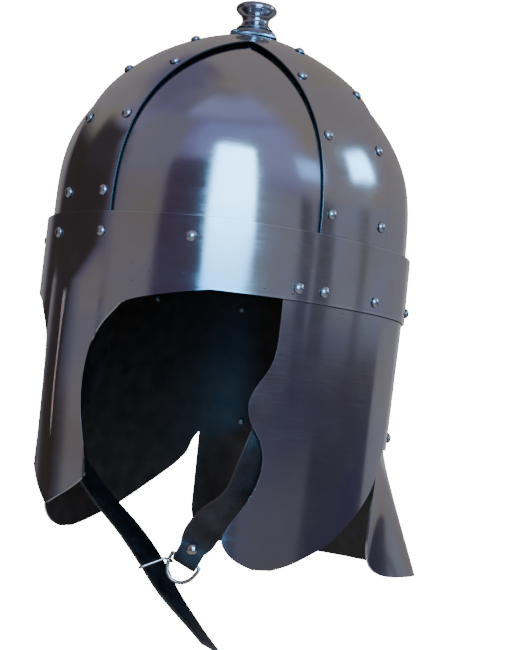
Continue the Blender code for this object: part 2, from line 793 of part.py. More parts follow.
def make_right_strap(material):
    """Free side: from the rivet down the far cheek, under the chin, past the buckle to its free end."""
    wall = strap_wall(-1.0)
    fall = [fall_point(row) for row in RIGHT_FALL]
    stations = []
    for index, centre in enumerate(spline(wall + fall, SPLINE_STEPS)):
        free = (index / SPLINE_STEPS - len(wall) + 1.0) / len(fall)
        turn = math.radians(TAIL_TWIST) * smooth(2.0 * free - 1.0)
        twisted = Vector((math.sin(turn), -math.cos(turn), 0.0))
        direction = wall_across(centre, -1.0).lerp(twisted, smooth(2.5 * free))
        stations.append((centre, direction, STRAP_WIDTH))
    return ribbon("chin_strap_right", stations, material)


def tube(name, path, radius, closed, material):
    """Round wire along a path."""
    mesh = bmesh.new()
    count = len(path)
    rings = []
    normal = None
    for index, centre in enumerate(path):
        ahead = path[(index + 1) % count] if closed else path[min(index + 1, count - 1)]
        behind = path[index - 1] if closed else path[max(index - 1, 0)]
        tangent = (ahead - behind).normalized()
        if normal is None:
            normal = tangent.orthogonal()
        normal = (normal - tangent * normal.dot(tangent)).normalized()
        other = tangent.cross(normal)
        turns = [4.0 * SIDE * i / TURN_SIDES for i in range(TURN_SIDES)]
        spokes = [normal * math.cos(t) + other * math.sin(t) for t in turns]
        rings.append([mesh.verts.new(centre + spoke * radius) for spoke in spokes])
    pairs = list(zip(rings, rings[1:]))
    if closed:
        pairs.append((rings[-1], rings[0]))
    for start, end in pairs:
        for i in range(TURN_SIDES):
            after = (i + 1) % TURN_SIDES
            mesh.faces.new((start[i], start[after], end[after], end[i]))
    if not closed:
        mesh.faces.new(reversed(rings[0]))
        mesh.faces.new(rings[-1])
    return add_object(name, mesh, material)


def make_buckle(material):
    """Round-bowed frame hanging from the strap's fold."""
    bar, along, down, _ = buckle_frame()
    half = STRAP_END_WIDTH / 2.0 + BUCKLE_WIRE + GAP
    path = [bar - along * half, bar, bar + along * half]
    for step in range(1, BOW_STEPS):
        turn = 2.0 * SIDE * step / BOW_STEPS
        drop = BUCKLE_BOW * math.sin(turn) ** BUCKLE_BOW_POWER
        path.append(bar + along * (half * math.cos(turn)) + down * drop)
    return tube("buckle_frame", path, BUCKLE_WIRE, True, material)


def make_prong(material):
    """Pin hooked round the buckle's frame beside the strap, lying across the free strap."""
    bar, along, down, out = buckle_frame()
    reach = BUCKLE_WIRE + PRONG_WIRE + GAP
    centre = bar + along * (STRAP_END_WIDTH / 2.0 + BUCKLE_WIRE + GAP) + down * (BUCKLE_BOW * PRONG_SEAT)
    aim = (along * PRONG_AIM[0] + down * PRONG_AIM[1] + out * PRONG_AIM[2]).normalized()
    path = []
    for step in range(HOOK_STEPS + 1):
        turn = math.radians(PRONG_HOOK_START + (PRONG_HOOK_END - PRONG_HOOK_START) * step / HOOK_STEPS)
        path.append(centre + along * (reach * math.sin(turn)) + out * (reach * math.cos(turn)))
    start = path[-1]
    path += [start + aim * (PRONG_LENGTH * share) for share in (0.2, 0.6, 1.0)]
    return tube("buckle_prong", path, PRONG_WIRE, False, material)


def main():
    """Build every piece of the helmet."""
    for item in list(bpy.data.objects):
        bpy.data.objects.remove(item, do_unlink=True)

    plate_steel = steel("polished_steel_plate", (0.46, 0.47, 0.52), 0.22)
    rivet_steel = steel("bright_steel_rivet", (0.60, 0.62, 0.64), 0.18)
    nickel = steel("nickel_buckle", (0.72, 0.70, 0.66), 0.15)
    leather = steel("black_leather", (0.015, 0.015, 0.018), 0.55, 0.0)

    plates = [make_infill(name, *ends, plate_steel) for name, ends in INFILLS.items()]
    plates += [
        make_cross_band(plate_steel),
        make_brow_band(plate_steel),
        make_skirt(plate_steel),
        make_neck_guard(plate_steel),
        make_finial(plate_steel),
        make_left_strap(leather),
        make_right_strap(leather),
    ]
    by_name = {plate.name: plate for plate in plates}
    for name, seat, axis, grip, through in rivet_places() + finial_rivets():
        make_rivet(name, seat, axis, grip, RIVET_HEAD, rivet_steel)
        cutter = make_hole_cutter(f"drill_{name}", seat, axis, grip, rivet_steel)
        for plate in through:
            drill(by_name[plate], cutter)

    bar, _, down, out = buckle_frame()
    fold = BUCKLE_WIRE + GAP + STRAP_SHEET
    stud = ("strap_stud", bar + out * fold - down * STUD_RISE, out, 2.0 * STRAP_SHEET + 3.0 * GAP)
    make_rivet(*stud, STUD_HEAD, nickel)
    drill(by_name["chin_strap_left"], make_hole_cutter("drill_strap_stud", *stud[1:], nickel))
    make_buckle(nickel)
    make_prong(nickel)


main()
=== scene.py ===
"""Nasal helmet of polished steel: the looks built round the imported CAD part.

The front is -Y, the wearer's left is +X and up is +Z. Lengths are in metres.
"""

from __future__ import annotations

import json
import logging
import math
from collections.abc import Callable, Sequence
from dataclasses import dataclass, field
from enum import Enum
from typing import Any

import bmesh
import bpy
from mathutils import Matrix, Vector

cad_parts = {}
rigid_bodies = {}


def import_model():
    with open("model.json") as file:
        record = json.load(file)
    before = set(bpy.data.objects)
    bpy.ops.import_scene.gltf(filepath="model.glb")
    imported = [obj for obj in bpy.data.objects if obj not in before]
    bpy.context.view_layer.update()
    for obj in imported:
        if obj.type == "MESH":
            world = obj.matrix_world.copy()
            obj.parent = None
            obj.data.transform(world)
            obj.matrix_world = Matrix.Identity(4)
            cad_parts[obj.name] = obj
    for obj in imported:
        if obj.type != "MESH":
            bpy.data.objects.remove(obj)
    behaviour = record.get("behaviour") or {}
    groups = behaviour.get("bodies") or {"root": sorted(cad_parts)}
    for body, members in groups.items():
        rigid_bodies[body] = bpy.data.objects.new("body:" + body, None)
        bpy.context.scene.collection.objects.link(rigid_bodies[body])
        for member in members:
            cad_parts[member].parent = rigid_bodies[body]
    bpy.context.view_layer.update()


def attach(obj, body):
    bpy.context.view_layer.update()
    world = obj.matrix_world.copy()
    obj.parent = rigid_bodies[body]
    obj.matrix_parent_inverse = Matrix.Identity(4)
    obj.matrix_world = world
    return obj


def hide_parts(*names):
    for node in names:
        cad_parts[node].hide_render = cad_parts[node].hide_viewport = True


log = logging.getLogger("nasal_helmet")

BODY = "root"
QUARTER = math.radians(90.0)
RIM = "rim"
# Vertex layer of painted shade in joints, in corners and under edges
PAINTED_SHADE = "soot"
# Vertex layer of the painted highlight line on the nasal's ridge
RIDGE_HIGHLIGHT = "rust"
# Widest line across an arm, as a share of the outline there
WIDEST_SHARE = 0.999
ROUND_DEG = 360.0

Key = tuple[Any, ...]
Profile = Sequence[tuple[float, float, float]]
Place = Callable[[Key, float], Vector]
Inputs = Sequence[Any] | dict[Any, Any]


class Slot(Enum):
    """Material slots of the record."""

    PLATE = "polished_steel"
    RIVET = "rivet_steel"
    NICKEL = "nickel_buckle"
    LEATHER = "black_leather"


class Arm(Enum):
    """Arms of the cross band, in order from the front round the wearer's left."""

    FRONT = 0
    LEFT = 1
    REAR = 2
    RIGHT = 3


class Hand(Enum):
    """Side of the helmet, as the sign of X."""

    LEFT = 1.0
    RIGHT = -1.0


def linear(code: str) -> tuple[float, float, float, float]:
    """Turn an sRGB hex colour to linear.

    Args:
        code: Colour such as "#8A8F99".

    Returns:
        Red, green, blue and alpha.
    """
    shares = [int(code[i : i + 2], 16) / 255.0 for i in (1, 3, 5)]
    # The sRGB curve
    made = [s / 12.92 if s <= 0.04045 else ((s + 0.055) / 1.055) ** 2.4 for s in shares]
    return made[0], made[1], made[2], 1.0


def set_inputs(tree: bpy.types.NodeTree, node: bpy.types.Node, inputs: Inputs) -> None:
    """Set a node's constants and its links.

    Args:
        tree: Node tree.
        node: The node.
        inputs: Values in the order of its sockets, or by socket name or number: a constant, an output
            socket to link, or a node for its first output.
    """
    for key, value in inputs.items() if isinstance(inputs, dict) else enumerate(inputs):
        if isinstance(value, bpy.types.Node):
            value = value.outputs[0]
        if isinstance(value, bpy.types.NodeSocket):
            tree.links.new(value, node.inputs[key])
        else:
            node.inputs[key].default_value = value


def add_node(tree: bpy.types.NodeTree, kind: str, inputs: Inputs = (), **settings: Any) -> bpy.types.Node:
    """Add a node with its settings, its constants and its links.

    Args:
        tree: Node tree.
        kind: Node type.
        inputs: Values for its sockets, as set_inputs takes them.
        settings: Properties of the node.

    Returns:
        The node.
    """
    made = tree.nodes.new(kind)
    for key, value in settings.items():
        setattr(made, key, value)
    set_inputs(tree, made, inputs)
    return made


def new_material(name: str) -> tuple[bpy.types.Material, bpy.types.Node, bpy.types.NodeSocket]:
    """Start a material.

    Args:
        name: Name of the finish.

    Returns:
        The material, its shader and the place on the object.
    """
    material = bpy.data.materials.new(name)
    material.use_nodes = True
    tree = material.node_tree
    return material, tree.nodes["Principled BSDF"], add_node(tree, "ShaderNodeTexCoord").outputs["Object"]


def scale_of(spacing_mm: float) -> float:
    """Scale that gives a pattern its real spacing in millimetres."""
    return 1000.0 / spacing_mm


def metres(length_mm: float) -> float:
    """Turn millimetres to metres."""
    return length_mm / 1000.0


def smooth(value: float) -> float:
    """Ease from 0 to 1."""
    value = min(max(value, 0.0), 1.0)
    return value * value * (3.0 - 2.0 * value)


def blend(low: float, high: float, share: float) -> float:
    """Value at a share of the way from low to high."""
    return low + (high - low) * share


def rounded_shares(count: int, tight: float) -> list[float]:
    """Even shares from 0 to 1 with one more line close to each end, where the rim is.

    Args:
        count: Number of even steps.
        tight: Share between an end and its close line.

    Returns:
        Shares in order.
    """
    even = [i / count for i in range(count + 1)]
    return [0.0, tight] + even[1:-1] + [1.0 - tight, 1.0]


def curve_through(rows: Sequence[Sequence[float]], steps: int) -> list[list[float]]:
    """Smooth cubic run through rows of numbers.

    Args:
        rows: Rows of equal length.
        steps: Number of steps between two rows.

    Returns:
        Finer rows, the last one included.
    """
    first = [2.0 * a - b for a, b in zip(rows[0], rows[1])]
    last = [2.0 * a - b for a, b in zip(rows[-1], rows[-2])]
    padded = [first, *rows, last]
    made = []
    for before, start, end, after in zip(padded, padded[1:], padded[2:], padded[3:]):
        for step in range(steps):
            t = step / steps
            made.append(
                [
                    0.5
                    * (
                        2.0 * s
                        + (e - b) * t
                        + (2.0 * b - 5.0 * s + 4.0 * e - a) * t * t
                        + (3.0 * s - b - 3.0 * e + a) * t * t * t
                    )
                    for b, s, e, a in zip(before, start, end, after)
                ]
            )
    made.append(list(rows[-1]))
    return made


# Finishes


@dataclass(frozen=True)
class PolishedPlate:
    """Mild steel sheet, ground level, bent in rolls and buffed."""

    # To the eye it is a dark mirror: it draws a window out into a soft upright streak, its level grinding
    # lines blur the streak's edges, and its tint drifts between blue and straw
    name: str = "buffed_mild_steel_sheet"
    # Bare iron is a neutral grey; an oil film and light oxide push patches of it to blue and to straw
    bare: str = "#C3C4CA"
    blued: str = "#BBBECC"
    straw: str = "#C4BFBB"
    # Near-black of the painted shade in joints and along edges, which also colours the corrosion pits
    soot: str = "#0F0D10"
    rim: str = "#D8DADF"
    # Orange-red of the painted highlight line along the nasal's ridge
    rust: str = "#8E4528"
    roughness_low: float = 0.10
    roughness_high: float = 0.18
    # Spacings in millimetres. Real grinding lines lie about 0.15 mm apart, too fine to show, so they are
    # drawn coarser
    patch_mm: float = 55.0
    wave_mm: float = 34.0
    ripple_mm: float = 15.0
    ripple_stretch: float = 5.0
    ripple_depth_mm: float = 0.24
    line_mm: float = 0.7
    line_depth_mm: float = 0.01
    smear_mm: float = 16.0
    pit_mm: float = 5.5
    pit_level_mm: float = 4.0
    pit_reach_mm: float = 9.0
    wave_depth_mm: float = 0.045
    # Shares of a noise's range
    tint_stops: tuple[float, float, float] = (0.36, 0.50, 0.66)
    gloss_range: tuple[float, float] = (0.12, 0.42)
    pit_edge: tuple[float, float] = (0.05, 0.10)
    pit_core: float = 0.3
    line_strength: float = 0.05
    soot_roughness: float = 0.55

    def build(self) -> bpy.types.Material:
        """Make the material.

        Returns:
            The material.
        """
        material, shader, place = new_material(self.name)
        tree = material.node_tree
        patch = {"Vector": place, "Scale": scale_of(self.patch_mm), "Detail": 3.0}
        patches = add_node(tree, "ShaderNodeTexNoise", patch)
        tint = add_node(tree, "ShaderNodeValToRGB", [patches])
        ramp = tint.color_ramp
        low, middle, high = self.tint_stops
        ramp.elements[0].position, ramp.elements[0].color = low, linear(self.blued)
        ramp.elements[1].position, ramp.elements[1].color = high, linear(self.straw)
        ramp.elements.new(middle).color = linear(self.bare)

        # Grinding lines run level round the helmet, so the noise is squeezed along Z
        squeeze = (1.0, 1.0, self.smear_mm / self.line_mm)
        squeezed = add_node(tree, "ShaderNodeMapping", {"Vector": place, "Scale": squeeze})
        smear = scale_of(self.smear_mm)
        lines = add_node(tree, "ShaderNodeTexNoise", {"Vector": squeezed, "Scale": smear, "Detail": 4.0})
        smears = add_node(tree, "ShaderNodeTexNoise", {"Vector": place, "Scale": smear, "Detail": 6.0})
        mixed = add_node(tree, "ShaderNodeMath", [lines, smears], operation="MULTIPLY")
        roughness = (self.roughness_low, self.roughness_high)
        gloss = add_node(tree, "ShaderNodeMapRange", [mixed, *self.gloss_range, *roughness])

        # A few corrosion pits near the brow band's lower edge
        cell = {"Vector": place, "Scale": scale_of(self.pit_mm), "Randomness": 1.0}
        cells = add_node(tree, "ShaderNodeTexVoronoi", cell)
        pit = add_node(tree, "ShaderNodeMapRange", [cells, *self.pit_edge, 1.0, 0.0])
        height = add_node(tree, "ShaderNodeSeparateXYZ", [place]).outputs["Z"]
        away = add_node(tree, "ShaderNodeMath", [height, metres(self.pit_level_mm)], operation="SUBTRACT")
        near = add_node(tree, "ShaderNodeMath", [away], operation="ABSOLUTE")
        reach = metres(self.pit_reach_mm)
        zone = add_node(tree, "ShaderNodeMapRange", [near, self.pit_core * reach, reach, 1.0, 0.0])
        pits = add_node(tree, "ShaderNodeMath", [pit, zone], operation="MULTIPLY")

        rim, soot, rust = (
            add_node(tree, "ShaderNodeAttribute", attribute_name=layer).outputs["Fac"]
            for layer in (RIM, PAINTED_SHADE, RIDGE_HIGHLIGHT)
        )
        # Painted shade from its vertex layer, and the real pits, darken the colour and dull the gloss
        tone_share = add_node(tree, "ShaderNodeMath", [soot, pits], operation="MAXIMUM")
        colour = tint.outputs["Color"]
        for share, code in ((rim, self.rim), (rust, self.rust), (tone_share, self.soot)):
            over = {0: share, 6: colour, 7: linear(code)}
            colour = add_node(tree, "ShaderNodeMix", over, data_type="RGBA").outputs[2]
        # The painted ridge highlight is no metal, so it shows its own colour
        metal = add_node(tree, "ShaderNodeMath", [1.0, rust], operation="SUBTRACT")
        dull = add_node(tree, "ShaderNodeMapRange", [tone_share, 0.0, 1.0, gloss, self.soot_roughness])

        # Bending rolls leave shallow upright ripples, which draw the reflections into upright streaks
        wave = {"Vector": place, "Scale": scale_of(self.wave_mm), "Detail": 1.5}
        waves = add_node(tree, "ShaderNodeTexNoise", wave)
        stretch = (1.0, 1.0, 1.0 / self.ripple_stretch)
        upright = add_node(tree, "ShaderNodeMapping", {"Vector": place, "Scale": stretch})
        ripple = {"Vector": upright, "Scale": scale_of(self.ripple_mm), "Detail": 0.0}
        ripples = add_node(tree, "ShaderNodeTexNoise", ripple)
        dent = {"Strength": 1.0, "Distance": metres(self.wave_depth_mm), "Height": waves}
        wavy = add_node(tree, "ShaderNodeBump", dent)
        bend = {"Strength": 1.0, "Distance": metres(self.ripple_depth_mm), "Height": ripples}
        rippled = add_node(tree, "ShaderNodeBump", {**bend, "Normal": wavy})
        cut = {"Strength": self.line_strength, "Distance": metres(self.line_depth_mm), "Height": lines}
        lined = add_node(tree, "ShaderNodeBump", {**cut, "Normal": rippled})
        finish = {"Base Color": colour, "Metallic": metal, "Roughness": dull, "Normal": lined}
        set_inputs(tree, shader, finish)
        return material


@dataclass(frozen=True)
class BlackedInside:
    """Oil-black paint, brushed by hand on the inside of the sheets."""

    # To the eye it is a soft near-black that swallows the room, so the openings read as deep
    name: str = "oil_black_paint"
    dark: str = "#0F0C0A"
    worn: str = "#1E1A17"
    roughness: float = 0.42
    stroke_mm: float = 9.0
    stroke_depth_mm: float = 0.2
    stroke_strength: float = 0.35
    worn_range: tuple[float, float] = (0.35, 0.75)

    def build(self) -> bpy.types.Material:
        """Make the material.

        Returns:
            The material.
        """
        material, shader, place = new_material(self.name)
        tree = material.node_tree
        stroke = {"Vector": place, "Scale": scale_of(self.stroke_mm), "Detail": 5.0}
        strokes = add_node(tree, "ShaderNodeTexNoise", stroke)
        ramp = add_node(tree, "ShaderNodeValToRGB", [strokes])
        for stop, position, code in zip(ramp.color_ramp.elements, self.worn_range, (self.dark, self.worn)):
            stop.position, stop.color = position, linear(code)
        relief = {"Distance": metres(self.stroke_depth_mm), "Height": strokes}
        bump = add_node(tree, "ShaderNodeBump", {"Strength": self.stroke_strength, **relief})
        set_inputs(tree, shader, {"Base Color": ramp, "Roughness": self.roughness, "Normal": bump})
        return material


@dataclass(frozen=True)
class BrightMetal:
    """Small turned, headed or drawn metal, polished on all sides."""

    # To the eye each piece is a small bright point with a dark foot, which is painted shade
    name: str
    bright: str
    # Dark colour of the painted shade at the foot and in grooves, and of the random stains
    dirty: str
    roughness: float
    # Real scratches lie closer; drawn as coarse as they need to show
    scratch_mm: float = 1.4
    depth_mm: float = 0.01
    scratch_strength: float = 0.25
    stain_range: tuple[float, float] = (0.35, 0.70)
    stain: float = 0.25
    dirty_roughness: float = 0.5

    def build(self) -> bpy.types.Material:
        """Make the material.

        Returns:
            The material.
        """
        material, shader, place = new_material(self.name)
        tree = material.node_tree
        scratch = {"Vector": place, "Scale": scale_of(self.scratch_mm), "Detail": 5.0}
        scratches = add_node(tree, "ShaderNodeTexNoise", scratch)
        # Painted shade from the vertex layer, with random stains, darkens the colour and dulls the gloss
        soot = add_node(tree, "ShaderNodeAttribute", attribute_name=PAINTED_SHADE).outputs["Fac"]
        stain = add_node(tree, "ShaderNodeMapRange", [scratches, *self.stain_range, 0.0, self.stain])
        tone_share = add_node(tree, "ShaderNodeMath", [soot, stain], operation="ADD", use_clamp=True)
        over = {0: tone_share, 6: linear(self.bright), 7: linear(self.dirty)}
        colour = add_node(tree, "ShaderNodeMix", over, data_type="RGBA").outputs[2]
        roughness = (self.roughness, self.dirty_roughness)
        dull = add_node(tree, "ShaderNodeMapRange", [tone_share, 0.0, 1.0, *roughness])
        relief = {"Distance": metres(self.depth_mm), "Height": scratches}
        bump = add_node(tree, "ShaderNodeBump", {"Strength": self.scratch_strength, **relief})
        finish = {"Base Color": colour, "Metallic": 1.0, "Roughness": dull, "Normal": bump}
        set_inputs(tree, shader, finish)
        return material


@dataclass(frozen=True)
class BridleLeather:
    """Vegetable-tanned cowhide, dyed black and waxed."""

    # To the eye it is a soft black with a pebbled grain, a waxed sheen on the bends and paler cut edges
    name: str = "black_bridle_leather"
    dyed: str = "#0D0D10"
    faded: str = "#1E1D21"
    edge: str = "#2A2522"
    roughness_low: float = 0.36
    roughness_high: float = 0.58
    grain_mm: float = 0.8
    grain_depth_mm: float = 0.12
    crease_mm: float = 14.0
    crease_depth_mm: float = 0.6
    bump_strength: float = 0.5
    fade_range: tuple[float, float] = (0.40, 0.72)
    sheen_range: tuple[float, float] = (0.3, 0.7)

    def build(self) -> bpy.types.Material:
        """Make the material.

        Returns:
            The material.
        """
        material, shader, place = new_material(self.name)
        tree = material.node_tree
        crease = {"Vector": place, "Scale": scale_of(self.crease_mm), "Detail": 5.0}
        wear = add_node(tree, "ShaderNodeTexNoise", crease)
        ramp = add_node(tree, "ShaderNodeValToRGB", [wear])
        for stop, position, code in zip(ramp.color_ramp.elements, self.fade_range, (self.dyed, self.faded)):
            stop.position, stop.color = position, linear(code)
        rim = add_node(tree, "ShaderNodeAttribute", attribute_name=RIM).outputs["Fac"]
        over = {0: rim, 6: ramp, 7: linear(self.edge)}
        colour = add_node(tree, "ShaderNodeMix", over, data_type="RGBA").outputs[2]
        roughness = (self.roughness_low, self.roughness_high)
        sheen = add_node(tree, "ShaderNodeMapRange", [wear, *self.sheen_range, *roughness])
        grain = add_node(tree, "ShaderNodeTexVoronoi", {"Vector": place, "Scale": scale_of(self.grain_mm)})
        pebble = {"Distance": metres(self.grain_depth_mm), "Height": grain}
        pebbled = add_node(tree, "ShaderNodeBump", {"Strength": self.bump_strength, **pebble})
        fold = {"Distance": metres(self.crease_depth_mm), "Height": wear, "Normal": pebbled}
        creased = add_node(tree, "ShaderNodeBump", {"Strength": self.bump_strength, **fold})
        set_inputs(tree, shader, {"Base Color": colour, "Roughness": sheen, "Normal": creased})
        return material


@dataclass
class Finishes:
    """Every material of the helmet, made once."""

    plate: bpy.types.Material = field(default_factory=lambda: PolishedPlate().build())
    inside: bpy.types.Material = field(default_factory=lambda: BlackedInside().build())
    # Name, bright colour, dark colour of painted shade and stains, roughness and the scratches' spacing of
    # each small metal
    rivet: bpy.types.Material = field(
        default_factory=lambda: BrightMetal("polished_steel_rivet", "#D6DCE0", "#303036", 0.24).build()
    )
    knob: bpy.types.Material = field(
        default_factory=lambda: BrightMetal("turned_polished_steel", "#C0C4CC", "#232329", 0.12, 3.0).build()
    )
    nickel: bpy.types.Material = field(
        default_factory=lambda: BrightMetal("nickel_plated_wire", "#E8DFCF", "#3A342C", 0.14).build()
    )
    leather: bpy.types.Material = field(default_factory=lambda: BridleLeather().build())


# Shape that the pieces share


@dataclass(frozen=True)
class HelmetForm:
    """Outline of the hollow and the dome over it, with the layers of sheet outside it."""

    half_depth: float = 0.114
    half_width: float = 0.101
    plan_power: float = 2.1
    dome_rise: float = 0.1302
    dome_power_out: float = 1.55
    dome_power_up: float = 2.60
    sheet: float = 0.0012
    gap: float = 0.0004
    brow_height: float = 0.0395
    plate_foot: float = 0.0195
    skirt_taper: float = 0.0020
    nape_drop: float = 0.0790

    @property
    def band_out(self) -> float:
        """Outside of the cross band, the skirt and the finial's seat."""
        return self.gap + self.sheet

    @property
    def brow_out(self) -> float:
        """Outside of the brow band."""
        return self.band_out + self.gap + self.sheet

    def plan_point(self, angle: float, grow: float, share: float = 1.0) -> tuple[float, float]:
        """Point of the plan outline.

        Args:
            angle: Plan angle from the front towards the wearer's left.
            grow: Growth outwards.
            share: Share of the outline's size.

        Returns:
            X and Y.
        """
        sine, cosine = math.sin(angle), math.cos(angle)
        power = self.plan_power
        reach = share * (abs(sine) ** power + abs(cosine) ** power) ** (-1.0 / power)
        return (self.half_width + grow) * reach * sine, -(self.half_depth + grow) * reach * cosine

    def angle_across(self, offset: float, radius: float) -> float:
        """Plan angle away from an arm's middle for a distance across it."""
        share = min(offset / radius, WIDEST_SHARE)
        return math.atan2(share, (1.0 - share**self.plan_power) ** (1.0 / self.plan_power))

    def crown_share(self, climb: float) -> float:
        """Share of the plan outline at a climb angle."""
        return math.cos(max(climb, 0.0)) ** (2.0 / self.dome_power_out)

    def climb_of_rise(self, rise: float) -> float:
        """Climb angle at a share of the dome's rise."""
        return math.asin(rise ** (self.dome_power_up / 2.0))

    def climb_of_radius(self, radius: float) -> float:
        """Climb angle where the dome's half width is the radius."""
        return math.acos((radius / self.half_width) ** (self.dome_power_out / 2.0))

    def climb_of_height(self, height: float) -> float:
        """Climb below the dome for a height on the upright wall."""
        return (height - self.brow_height) / self.dome_rise

    def dome_point(self, angle: float, climb: float, grow: float) -> Vector:
        """Point of the dome, or of the upright wall under it.

        Args:
            angle: Plan angle.
            climb: Climb angle, negative on the wall.
            grow: Growth outwards.

        Returns:
            The point.
        """
        x, y = self.plan_point(angle, grow, self.crown_share(climb))
        if climb < 0.0:
            return Vector((x, y, self.brow_height + climb * self.dome_rise))
        rise = math.sin(climb) ** (2.0 / self.dome_power_up)
        return Vector((x, y, self.brow_height + (self.dome_rise + grow) * rise))

    def crown_height(self, radius: float, grow: float) -> float:
        """Height of the dome round the crown for a radius."""
        climb = math.acos((radius / (self.half_depth + grow)) ** (self.dome_power_out / 2.0))
        return self.brow_height + (self.dome_rise + grow) * math.sin(climb) ** (2.0 / self.dome_power_up)

    def skirt_grow(self, height: float) -> float:
        """Growth of the skirt's outside, which draws in below the brow band."""
        return self.band_out + self.skirt_taper * min(height, 0.0) / self.nape_drop


@dataclass(frozen=True)
class ArmForm:
    """Widths of the four arms of the cross band, and the tuck of the plates under them."""

    form: HelmetForm
    half_front: float = 0.0232
    half_side: float = 0.0283
    spread_front: float = 0.0180
    spread_side: float = 0.0090
    side_back: float = math.radians(2.5)

    def middle(self, arm: Arm) -> float:
        """Plan angle of the arm's middle."""
        lean = {Arm.LEFT: self.side_back, Arm.RIGHT: -self.side_back}.get(arm, 0.0)
        return arm.value * QUARTER + lean

    def half(self, arm: Arm, climb: float) -> float:
        """Half width of the arm, growing towards the crown.

        Args:
            arm: The arm.
            climb: Climb angle.

        Returns:
            Half of its width.
        """
        half, spread = self.half_side, self.spread_side
        if arm in (Arm.FRONT, Arm.REAR):
            half, spread = self.half_front, self.spread_front
        return half + spread * (1.0 - self.form.crown_share(climb))

    def radius(self, arm: Arm, climb: float) -> float:
        """Half size of the outline across the arm."""
        across = self.form.half_width if arm in (Arm.FRONT, Arm.REAR) else self.form.half_depth
        return across * self.form.crown_share(climb)

    def edges(self, arm: Arm, climb: float, share: float = 1.0) -> tuple[float, float]:
        """Plan angles of the arm's two edges, or of a line at a share of its half width."""
        turn = self.form.angle_across(share * self.half(arm, climb), self.radius(arm, climb))
        return self.middle(arm) - turn, self.middle(arm) + turn


def new_object(name: str, data: bpy.types.ID) -> bpy.types.Object:
    """Make an object and put it in the scene.

    Args:
        name: Its name.
        data: Its mesh, light or camera.

    Returns:
        The object.
    """
    made = bpy.data.objects.new(name, data)
    bpy.context.scene.collection.objects.link(made)
    return made


def finish_piece(
    mesh_data: bmesh.types.BMesh,
    name: str,
    materials: Sequence[bpy.types.Material],
    nodes: Sequence[str],
    bevel: float = 0.0,
    sharp_deg: float = 40.0,
    bevel_deg: float = 60.0,
) -> bpy.types.Object:
    """Make the object of a piece, ride it on the body and let it stand for its CAD nodes.

    Args:
        mesh_data: Mesh, in place; it is freed.
        name: Name of the piece.
        materials: Materials by face index.
        nodes: CAD nodes that it stands for.
        bevel: Width of the rounding on its sharp edges, or 0.
        sharp_deg: Angle over which an edge shades sharp.
        bevel_deg: Angle over which an edge is rounded.

    Returns:
        The object.
    """
    mesh = bpy.data.meshes.new(name)
    mesh_data.to_mesh(mesh)
    mesh_data.free()
    for material in materials:
        mesh.materials.append(material)
    mesh.shade_smooth()
    mesh.set_sharp_from_angle(angle=math.radians(sharp_deg))
    piece = new_object(name, mesh)
    if bevel > 0.0:
        rounding = piece.modifiers.new("rounded_rim", "BEVEL")
        rounding.width = bevel
        rounding.segments = 2
        rounding.limit_method = "ANGLE"
        rounding.angle_limit = math.radians(bevel_deg)
    settle_piece(piece, nodes)
    return piece


def settle_piece(piece: bpy.types.Object, nodes: Sequence[str]) -> None:
    """Ride a piece on the body, let it stand for its CAD nodes and report it.

    Args:
        piece: The piece.
        nodes: CAD nodes that it stands for.
    """
    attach(piece, BODY)
    if nodes:
        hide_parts(*nodes)
    log.info("%s: %d faces, stands for %d nodes", piece.name, len(piece.data.polygons), len(nodes))


@dataclass
class SheetPiece:
    """Piece of sheet metal: quads of keys seen from outside, with a polished face and a blacked back."""

    name: str
    cells: Sequence[tuple[Key, Key, Key, Key]]
    place: Place
    thickness: float
    # Per vertex: share of painted shade, on both faces
    soot_at: Callable[[Key], float] = lambda key: 0.0
    # Per vertex: share of the painted ridge highlight, on the outside
    rust_at: Callable[[Key], float] = lambda key: 0.0
    rim_share: float = 1.0
    rounding: float = 0.00035

    def build(self, finishes: Finishes, nodes: Sequence[str]) -> bpy.types.Object:
        """Build the closed plate.

        Args:
            finishes: Materials of the helmet.
            nodes: CAD nodes that it stands for.

        Returns:
            The object.
        """
        mesh = bmesh.new()
        rim = mesh.verts.layers.float.new(RIM)
        soot = mesh.verts.layers.float.new(PAINTED_SHADE)
        rust = mesh.verts.layers.float.new(RIDGE_HIGHLIGHT)
        keys = sorted({key for cell in self.cells for key in cell}, key=str)
        outer = {key: mesh.verts.new(self.place(key, 0.0)) for key in keys}
        inner = {key: mesh.verts.new(self.place(key, self.thickness)) for key in keys}
        edges = {(cell[i], cell[(i + 1) % 4]) for cell in self.cells for i in range(4)}
        for key in keys:
            outer[key][soot] = inner[key][soot] = self.soot_at(key)
            outer[key][rust] = self.rust_at(key)
        for cell in self.cells:
            mesh.faces.new([outer[key] for key in cell])
            mesh.faces.new([inner[key] for key in reversed(cell)]).material_index = 1
        for start, end in sorted(edges, key=str):
            if (end, start) not in edges:
                mesh.faces.new([outer[end], outer[start], inner[start], inner[end]])
                for key in (start, end):
                    outer[key][rim] = self.rim_share
                    inner[key][rim] = self.rim_share
        bmesh.ops.recalc_face_normals(mesh, faces=mesh.faces)
        faces = (finishes.plate, finishes.inside)
        return finish_piece(mesh, self.name, faces, nodes, self.rounding)


def grid_cells(rows: int, columns: int) -> list[tuple[Key, Key, Key, Key]]:
    """Quads of a full grid, rows running up and columns to the wearer's left.

    Args:
        rows: Number of rows of quads.
        columns: Number of quads in a row.

    Returns:
        The corners of each quad.
    """
    return [((i, j), (i, j + 1), (i + 1, j + 1), (i + 1, j)) for i in range(rows) for j in range(columns)]


def falling_cell(row: int, column: int, after: int) -> tuple[Key, Key, Key, Key]:
    """Quad of a grid whose rows run down, between a column and the one after it."""
    return (row + 1, column), (row + 1, after), (row, after), (row, column)


